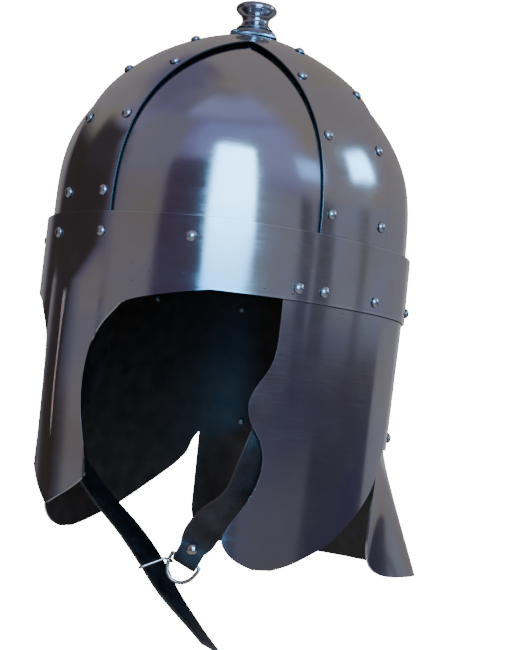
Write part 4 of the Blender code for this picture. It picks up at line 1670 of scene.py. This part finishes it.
@dataclass
class ChinStrap:
    """Leather chin strap in two parts, with its buckle."""

    form: HelmetForm
    finishes: Finishes
    width: float = 0.0200
    end_width: float = 0.0150
    sheet: float = 0.0020
    top: float = 0.0130
    drop: float = 0.1520
    rivet_deg: float = 81.2
    bar_side: float = 0.0430
    bar_front: float = 0.0470
    turn: float = math.radians(47.0)
    lean: float = math.radians(25.0)
    wire: float = 0.0011
    bow: float = 0.0135
    bow_power: float = 0.8
    fold_length: float = 0.0120
    stud_rise: float = 0.0075
    stud_head: float = 0.0034
    stud_height: float = 0.0019
    prong_wire: float = 0.0008
    prong_length: float = 0.0165
    prong_aim: tuple[float, float, float] = (0.62, 0.75, 0.22)
    prong_seat: float = 0.35
    prong_hook: tuple[float, float] = (math.radians(-200.0), math.radians(45.0))
    tail_twist: float = math.radians(44.0)
    # Shares of the fold's length at the strap's way into the fold and back up to the stud
    fold_in: tuple[float, ...] = (1.1, 0.5)
    fold_out: tuple[float, ...] = (0.25, 0.5, 0.75, 1.0)
    # How much sooner the free side leaves the wall's direction than it leaves the wall
    twist_lead: float = 2.5
    # Angles over which the strap's and the wires' edges shade sharp
    strap_sharp_deg: float = 50.0
    wire_sharp_deg: float = 60.0
    steps: int = 9
    fold_steps: int = 16
    bow_steps: int = 32
    hook_steps: int = 21
    wire_sides: int = 14
    wire_end: float = 0.55
    # Points along the bar and along the pin, as shares of their lengths
    bar_shares: tuple[float, ...] = (-1.0, -0.9, -0.5, 0.0, 0.5, 0.9, 1.0)
    pin_shares: tuple[float, ...] = (0.1, 0.25, 0.5, 0.75, 0.95, 1.0)
    stud_shank: float = 0.0012
    stud_depth: float = 0.002
    stud_lip: float = 0.0002
    # Painted shade on the stud's shank and round the foot of its head
    stud_soot: float = 0.8
    lip_soot: float = 0.9
    stud_steps: int = 8
    stud_sides: int = 28
    # Stations as shares of the form's half width, half depth and the strap's drop
    wall_turns: tuple[float, ...] = (1.00, 0.97, 0.93, 0.86, 0.82)
    wall_drops: tuple[float, ...] = (0.00, 0.20, 0.40, 0.52, 0.62)
    left_fall: tuple[tuple[float, float, float], ...] = ((0.790, 0.390, 0.730), (0.610, 0.405, 0.830))
    right_fall: tuple[tuple[float, float, float], ...] = (
        (-0.760, 0.395, 0.690),
        (-0.450, 0.405, 0.820),
        (-0.100, 0.412, 0.940),
        (0.130, 0.415, 1.040),
        (0.300, 0.415, 1.130),
        (0.500, 0.408, 1.215),
        (0.690, 0.400, 1.290),
    )
    # Half of the strap's section, from one cut edge to the other: across, thickness and rim
    section: Profile = (
        (-1.00, 0.00, 1.0),
        (-0.99, 0.55, 1.0),
        (-0.95, 0.90, 0.8),
        (-0.90, 0.98, 0.1),
        (-0.85, 0.88, 0.1),
        (-0.80, 1.00, 0.0),
        (-0.40, 1.00, 0.0),
        (0.00, 1.00, 0.0),
        (0.40, 1.00, 0.0),
        (0.80, 1.00, 0.0),
        (0.85, 0.88, 0.1),
        (0.90, 0.98, 0.1),
        (0.95, 0.90, 0.8),
        (0.99, 0.55, 1.0),
        (1.00, 0.00, 1.0),
    )

    def wall(self, hand: Hand) -> list[Vector]:
        """Upper stretch, flat on the inside of the cheek plate.

        Args:
            hand: Side of the helmet.

        Returns:
            Stations from the rivet down.
        """
        # A flat strap stands off a round wall by the rise of the arc behind it
        hollow = self.width**2 / (8.0 * self.form.half_width)
        made = []
        for turn, drop in zip(self.wall_turns, self.wall_drops):
            angle = hand.value * math.radians(self.rivet_deg * turn)
            height = self.top - (self.top + self.drop) * drop
            grow = self.form.skirt_grow(height) - self.form.sheet - 3.0 * self.form.gap
            grow -= hollow + self.sheet / 2.0
            made.append(Vector((*self.form.plan_point(angle, grow), height)))
        return made

    def across_wall(self, centre: Vector, hand: Hand) -> Vector:
        """Level direction along the form's outline towards the front.

        Args:
            centre: Station of the strap.
            hand: Side of the helmet.

        Returns:
            The direction.
        """
        normal = Vector((centre.x / self.form.half_width**2, centre.y / self.form.half_depth**2, 0.0))
        normal.normalize()
        return Vector((normal.y, -normal.x, 0.0)) * hand.value

    def fall(self, rows: Sequence[tuple[float, float, float]]) -> list[Vector]:
        """Stations below the wall."""
        form = self.form
        return [Vector((a * form.half_width, -b * form.half_depth, -c * self.drop)) for a, b, c in rows]

    def run(self, points: Sequence[Vector]) -> list[Vector]:
        """Smooth run through points."""
        return [Vector(row) for row in curve_through([tuple(point) for point in points], self.steps)]

    def bar(self) -> tuple[Vector, Vector, Vector, Vector]:
        """Middle of the buckle's bar, with the ways along it, down and out of its face.

        Returns:
            The middle and the three directions.
        """
        level = Vector((-math.sin(self.turn), -math.cos(self.turn), 0.0))
        upright = Vector((0.0, 0.0, 1.0))
        along = level * math.cos(self.lean) + upright * math.sin(self.lean)
        down = level * math.sin(self.lean) - upright * math.cos(self.lean)
        return Vector((self.bar_side, -self.bar_front, -self.drop)), along, down, along.cross(down)

    def ribbon(
        self, name: str, stations: Sequence[tuple[Vector, Vector, float]], node: str
    ) -> bpy.types.Object:
        """Sweep the strap's section along stations of centre, width direction and width.

        Args:
            name: Name of the piece.
            stations: Stations from one end to the other.
            node: CAD node that it stands for.

        Returns:
            The object.
        """
        mesh = bmesh.new()
        rim = mesh.verts.layers.float.new(RIM)
        loop = list(self.section) + [(a, -b, c) for a, b, c in reversed(self.section[1:-1])]
        centres = [station[0] for station in stations]
        rings = []
        for index, (centre, across, width) in enumerate(stations):
            tangent = centres[min(index + 1, len(centres) - 1)] - centres[max(index - 1, 0)]
            tangent.normalize()
            across = (across - tangent * across.dot(tangent)).normalized()
            face = tangent.cross(across).normalized()
            ring = []
            for a, b, tone_share in loop:
                vertex = mesh.verts.new(centre + across * (a * width / 2.0) + face * (b * self.sheet / 2.0))
                vertex[rim] = 1.0 if index in (0, len(stations) - 1) else tone_share
                ring.append(vertex)
            rings.append(ring)
        skin_rings(mesh, rings, False)
        leather = (self.finishes.leather,)
        return finish_piece(mesh, name, leather, [node], sharp_deg=self.strap_sharp_deg)

    def build_left(self) -> bpy.types.Object:
        """Build the buckle side, round the bar and back up to the stud.

        Returns:
            The object.
        """
        bar, along, down, out = self.bar()
        fold = self.wire + self.form.gap + self.sheet / 2.0
        wall = self.wall(Hand.LEFT)
        fall = self.fall(self.left_fall)
        fall += [bar + out * fold - down * (self.fold_length * share) for share in self.fold_in]
        stations = []
        for index, centre in enumerate(self.run(wall + fall)):
            free = (index / self.steps - len(wall) + 1.0) / len(fall)
            direction = self.across_wall(centre, Hand.LEFT).lerp(along, smooth(free))
            # It narrows over the last third of its fall
            width = blend(self.width, self.end_width, smooth(3.0 * free - 2.0))
            stations.append((centre, direction, width))
        for step in range(self.fold_steps + 1):
            turn = 2.0 * QUARTER * step / self.fold_steps
            centre = bar + out * (fold * math.cos(turn)) + down * (fold * math.sin(turn))
            stations.append((centre, along, self.end_width))
        back = fold - (self.sheet + 2.0 * self.form.gap)
        for share in self.fold_out:
            depth = blend(-fold, back, share)
            stations.append((bar + out * depth - down * (self.fold_length * share), along, self.end_width))
        return self.ribbon("chin_strap_buckle_side", stations, "chin_strap_left")

    def build_right(self) -> bpy.types.Object:
        """Build the free side, under the chin and past the buckle to its free end.

        Returns:
            The object.
        """
        wall = self.wall(Hand.RIGHT)
        fall = self.fall(self.right_fall)
        stations = []
        for index, centre in enumerate(self.run(wall + fall)):
            free = (index / self.steps - len(wall) + 1.0) / len(fall)
            turn = self.tail_twist * smooth(2.0 * free - 1.0)
            twisted = Vector((math.sin(turn), -math.cos(turn), 0.0))
            direction = self.across_wall(centre, Hand.RIGHT).lerp(twisted, smooth(self.twist_lead * free))
            stations.append((centre, direction, self.width))
        return self.ribbon("chin_strap_free_side", stations, "chin_strap_right")

    def wire_piece(
        self, name: str, path: Sequence[Vector], radius: float, closed: bool, node: str
    ) -> bpy.types.Object:
        """Build a round wire along a path, domed at its open ends.

        Args:
            name: Name of the piece.
            path: Points of its middle line.
            radius: Half of its thickness.
            closed: True for a ring.
            node: CAD node that it stands for.

        Returns:
            The object.
        """
        sides = self.wire_sides
        mesh = bmesh.new()
        mesh.verts.layers.float.new(PAINTED_SHADE)
        count = len(path)
        rings = []
        normal: Vector | None = None
        for index, centre in enumerate(path):
            ahead = path[(index + 1) % count] if closed else path[min(index + 1, count - 1)]
            behind = path[index - 1] if closed else path[max(index - 1, 0)]
            tangent = (ahead - behind).normalized()
            normal = tangent.orthogonal() if normal is None else normal
            normal = (normal - tangent * normal.dot(tangent)).normalized()
            other = tangent.cross(normal)
            end = not closed and index in (0, count - 1)
            reach = radius * (self.wire_end if end else 1.0)
            turns = [4.0 * QUARTER * i / sides for i in range(sides)]
            spokes = [normal * math.cos(t) + other * math.sin(t) for t in turns]
            rings.append([mesh.verts.new(centre + spoke * reach) for spoke in spokes])
        skin_rings(mesh, rings, closed)
        nickel = (self.finishes.nickel,)
        return finish_piece(mesh, name, nickel, [node], sharp_deg=self.wire_sharp_deg)

    def build_buckle(self) -> None:
        """Build the buckle's frame, its pin and the stud of the fold."""
        bar, along, down, out = self.bar()
        half = self.end_width / 2.0 + self.wire + self.form.gap
        path = [bar + along * (half * share) for share in self.bar_shares]
        for step in range(1, self.bow_steps):
            turn = 2.0 * QUARTER * step / self.bow_steps
            fall = self.bow * math.sin(turn) ** self.bow_power
            path.append(bar + along * (half * math.cos(turn)) + down * fall)
        self.wire_piece("buckle_ring", path, self.wire, True, "buckle_frame")

        reach = self.wire + self.prong_wire + self.form.gap
        centre = bar + along * half + down * (self.bow * self.prong_seat)
        sideways, dropping, standing = self.prong_aim
        aim = (along * sideways + down * dropping + out * standing).normalized()
        pin = []
        for step in range(self.hook_steps + 1):
            turn = blend(*self.prong_hook, step / self.hook_steps)
            pin.append(centre + along * (reach * math.sin(turn)) + out * (reach * math.cos(turn)))
        start = pin[-1]
        pin += [start + aim * (self.prong_length * share) for share in self.pin_shares]
        self.wire_piece("buckle_pin", pin, self.prong_wire, False, "buckle_prong")

        seat = bar + out * (self.wire + self.form.gap + self.sheet) - down * self.stud_rise
        shank, depth, lip, dirty = self.stud_shank, self.stud_depth, self.stud_lip, self.stud_soot
        profile = [(0.0, -depth, dirty), (shank, -depth, dirty), (shank, 0.0, dirty)]
        profile.append((self.stud_head, lip, self.lip_soot))
        for step in range(1, self.stud_steps):
            turn = QUARTER * step / self.stud_steps
            profile.append((self.stud_head * math.cos(turn), lip + self.stud_height * math.sin(turn), 0.0))
        profile.append((0.0, lip + self.stud_height, 0.0))
        mesh = turned_mesh(profile, self.stud_sides)
        turn = Vector((0.0, 0.0, 1.0)).rotation_difference(out).to_matrix().to_4x4()
        turn.translation = seat
        mesh.transform(turn)
        finish_piece(mesh, "strap_stud_head", (self.finishes.nickel,), ["strap_stud"])

    def build(self) -> None:
        """Build the strap and its buckle."""
        self.build_left()
        self.build_right()
        self.build_buckle()


# Studio


@dataclass(frozen=True)
class RoomPatch:
    """Soft-edged patch of the room as the steel sees it: compass and height in degrees from the front."""

    compass: float
    height: float
    half_compass: float
    half_height: float
    softness: float
    colour: str
    gain: float = 1.0


@dataclass(frozen=True)
class SoftBox:
    """Square soft light that looks at the middle of the helmet."""

    name: str
    place: tuple[float, float, float]
    size: float
    power: float


@dataclass
class Studio:
    """Camera at the photograph's angle, pale floor, soft light and the room that the steel mirrors."""

    eye: Vector = field(default_factory=lambda: Vector((0.6376, -0.5593, -0.0619)))
    azimuth: float = math.radians(47.202)
    elevation: float = math.radians(-3.534)
    roll: float = math.radians(5.978)
    focus_px: float = 1359.089
    frame_px: tuple[int, int] = (520, 650)
    sensor_mm: float = 36.0
    near: float = 0.01
    far: float = 50.0
    floor_height: float = -0.62
    floor_radius: float = 1.9
    floor_sides: int = 96
    floor_paint: str = "#F1F1F0"
    floor_roughness: float = 0.7
    floor_glow: float = 1.5
    # The backdrop that the camera sees; the steel doesn't see it
    paper_gain: float = 17.0
    boxes: tuple[SoftBox, ...] = (
        SoftBox("overhead_soft_box", (0.2, -0.4, 1.7), 1.8, 26.0),
        SoftBox("front_soft_box", (1.5, -1.1, 0.5), 1.2, 10.0),
    )
    # Room behind the patches, from straight down (0) to straight up (1)
    walls: tuple[tuple[float, str], ...] = (
        (0.0, "#A09EA4"),
        (0.36, "#8C8A92"),
        (0.43, "#5E5A64"),
        (0.465, "#4A4854"),
        (0.50, "#6C6A78"),
        (0.58, "#6E688A"),
        (0.68, "#908EB4"),
        (0.82, "#7B768F"),
        (1.0, "#8C888E"),
    )
    patches: tuple[RoomPatch, ...] = (
        # Blue-grey glow over the windows, warm grey ceiling and wall behind and on the right
        RoomPatch(88.0, 34.0, 60.0, 18.0, 16.0, "#A0A6D8", 0.9),
        RoomPatch(60.0, 68.0, 62.0, 13.0, 16.0, "#9EA2C8"),
        RoomPatch(-150.0, 60.0, 98.0, 62.0, 26.0, "#979192"),
        RoomPatch(-75.0, 66.0, 34.0, 15.0, 16.0, "#787088"),
        RoomPatch(-8.0, 36.0, 24.0, 18.0, 10.0, "#88848F"),
        # Plain grey below in front, dark wall on the front right
        RoomPatch(-7.0, 4.0, 17.0, 14.0, 8.0, "#857F84"),
        RoomPatch(-62.0, 4.0, 32.0, 22.0, 10.0, "#3E3636"),
        RoomPatch(-50.0, 26.0, 15.0, 9.0, 6.0, "#413E44"),
        # Paler wall, met at a glance along the outline
        RoomPatch(-146.0, 0.0, 14.0, 12.0, 8.0, "#B0B0B4"),
        RoomPatch(178.0, 4.0, 18.0, 10.0, 8.0, "#8D8B92"),
        # Dark frames below and beside the windows, with upright posts
        RoomPatch(29.0, 4.0, 17.0, 16.0, 6.0, "#504459"),
        RoomPatch(120.0, 7.0, 46.0, 7.0, 5.0, "#8B8F9F"),
        RoomPatch(108.5, 5.0, 3.6, 9.0, 3.0, "#585864"),
        RoomPatch(120.0, 5.0, 4.6, 9.0, 3.0, "#5C5B66"),
        RoomPatch(144.0, 5.0, 3.4, 9.0, 3.0, "#73737E"),
        # Windows: sill, main pane, second pane and side pane
        RoomPatch(59.5, -0.5, 14.0, 8.0, 3.0, "#48B2FF", 5.6),
        RoomPatch(61.0, 18.0, 15.0, 11.0, 3.0, "#84CCFF", 12.0),
        RoomPatch(113.0, 25.0, 8.0, 4.0, 4.0, "#8FBFFF", 1.9),
        RoomPatch(147.0, 27.0, 8.0, 5.0, 4.0, "#8CCFFF", 10.0),
        # Dark below the level
        RoomPatch(124.0, -2.2, 44.0, 3.6, 2.4, "#4B4959"),
        RoomPatch(106.0, -8.5, 20.0, 4.0, 3.0, "#65636F"),
        RoomPatch(146.0, -7.5, 20.0, 5.0, 3.0, "#434052"),
    )

    def build_camera(self) -> None:
        """Build the camera."""
        a, e = self.azimuth, self.elevation
        back = Vector((math.sin(a) * math.cos(e), -math.cos(a) * math.cos(e), math.sin(e)))
        level = Vector((math.cos(a), math.sin(a), 0.0))
        upright = back.cross(level)
        right = level * math.cos(self.roll) + upright * math.sin(self.roll)
        up = upright * math.cos(self.roll) - level * math.sin(self.roll)
        data = bpy.data.cameras.new("photo_camera")
        data.sensor_width = self.sensor_mm
        data.lens = self.focus_px * self.sensor_mm / max(self.frame_px)
        data.clip_start, data.clip_end = self.near, self.far
        camera = new_object("photo_camera", data)
        turn = Matrix((right, up, back)).transposed().to_4x4()
        turn.translation = self.eye
        camera.matrix_world = turn
        bpy.context.scene.camera = camera

    def build_room(self) -> None:
        """Build the world: white to the camera, a room of soft patches to the steel."""
        world = bpy.data.worlds.new("soft_room")
        bpy.context.scene.world = world
        world.use_nodes = True
        tree = world.node_tree
        tree.nodes.clear()
        way = add_node(tree, "ShaderNodeTexCoord").outputs["Generated"]
        x, y, z = add_node(tree, "ShaderNodeSeparateXYZ", [way]).outputs
        back = add_node(tree, "ShaderNodeMath", [y, -1.0], operation="MULTIPLY")
        compass = add_node(tree, "ShaderNodeMath", [x, back], operation="ARCTAN2")
        height = add_node(tree, "ShaderNodeMath", [z], operation="ARCSINE")
        share = add_node(tree, "ShaderNodeMapRange", [height, -QUARTER, QUARTER])
        base = add_node(tree, "ShaderNodeValToRGB", [share])
        stops = base.color_ramp.elements
        stops[0].position, stops[0].color = self.walls[0][0], linear(self.walls[0][1])
        stops[1].position, stops[1].color = self.walls[-1][0], linear(self.walls[-1][1])
        for position, code in self.walls[1:-1]:
            stops.new(position).color = linear(code)
        colour = base.outputs["Color"]
        for patch in self.patches:
            fades = []
            for angle, centre, half in (
                (compass, patch.compass, patch.half_compass),
                (height, patch.height, patch.half_height),
            ):
                off = add_node(tree, "ShaderNodeMath", [angle, math.radians(centre)], operation="SUBTRACT")
                turns = [off, 2.0 * QUARTER, -2.0 * QUARTER]
                held = add_node(tree, "ShaderNodeMath", turns, operation="WRAP")
                away = add_node(tree, "ShaderNodeMath", [held], operation="ABSOLUTE")
                inner = math.radians(half - patch.softness / 2.0)
                outer = math.radians(half + patch.softness / 2.0)
                edge = [away, inner, outer, 1.0, 0.0]
                fades.append(add_node(tree, "ShaderNodeMapRange", edge, interpolation_type="SMOOTHSTEP"))
            both = add_node(tree, "ShaderNodeMath", fades, operation="MULTIPLY")
            tone = [channel * patch.gain for channel in linear(patch.colour)[:3]] + [1.0]
            over = {0: both, 6: colour, 7: tone}
            colour = add_node(tree, "ShaderNodeMix", over, data_type="RGBA").outputs[2]
        room = add_node(tree, "ShaderNodeBackground", {"Color": colour, "Strength": 1.0})
        white = (1.0, 1.0, 1.0, 1.0)
        paper = add_node(tree, "ShaderNodeBackground", {"Color": white, "Strength": self.paper_gain})
        seen = add_node(tree, "ShaderNodeLightPath").outputs["Is Camera Ray"]
        either = add_node(tree, "ShaderNodeMixShader", [seen, room, paper])
        add_node(tree, "ShaderNodeOutputWorld", {"Surface": either})

    def build_lights(self) -> None:
        """Build two large soft boxes that the steel doesn't mirror as squares."""
        for box in self.boxes:
            data = bpy.data.lights.new(box.name, "AREA")
            data.size = box.size
            data.energy = box.power
            light = new_object(box.name, data)
            light.location = box.place
            light.rotation_euler = (-Vector(box.place)).to_track_quat("-Z", "Y").to_euler()
            light.visible_glossy = False
            light.visible_camera = False

    def build_floor(self) -> None:
        """Build the plain pale floor."""
        material, shader, _ = new_material("pale_floor")
        white = (1.0, 1.0, 1.0, 1.0)
        paint = {"Base Color": linear(self.floor_paint), "Roughness": self.floor_roughness}
        glow = {"Emission Color": white, "Emission Strength": self.floor_glow}
        set_inputs(material.node_tree, shader, {**paint, **glow})
        mesh = bmesh.new()
        bmesh.ops.create_circle(
            mesh,
            cap_ends=True,
            segments=self.floor_sides,
            radius=self.floor_radius,
            matrix=Matrix.Translation((0.0, 0.0, self.floor_height)),
        )
        data = bpy.data.meshes.new("pale_floor")
        mesh.to_mesh(data)
        mesh.free()
        data.materials.append(material)
        floor = new_object("pale_floor", data)
        floor.visible_glossy = False

    def build(self) -> None:
        """Build the whole studio."""
        self.build_camera()
        self.build_room()
        self.build_lights()
        self.build_floor()


def main() -> None:
    """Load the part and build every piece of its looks."""
    logging.basicConfig(level=logging.INFO, format="%(name)s: %(message)s")
    for item in list(bpy.data.objects):
        bpy.data.objects.remove(item, do_unlink=True)
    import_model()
    finishes = Finishes()
    form = HelmetForm()
    arms = ArmForm(form)
    dome = Dome(form, arms, finishes)
    brow = BrowBand(form, finishes)
    finial = Finial(form, finishes)
    dome.build()
    brow.build()
    Skirt(form, finishes).build()
    finial.build()
    Rivets(form, arms, dome, brow, finial, finishes).build()
    ChinStrap(form, finishes).build()
    Studio().build()


if __name__ == "__main__":
    main()
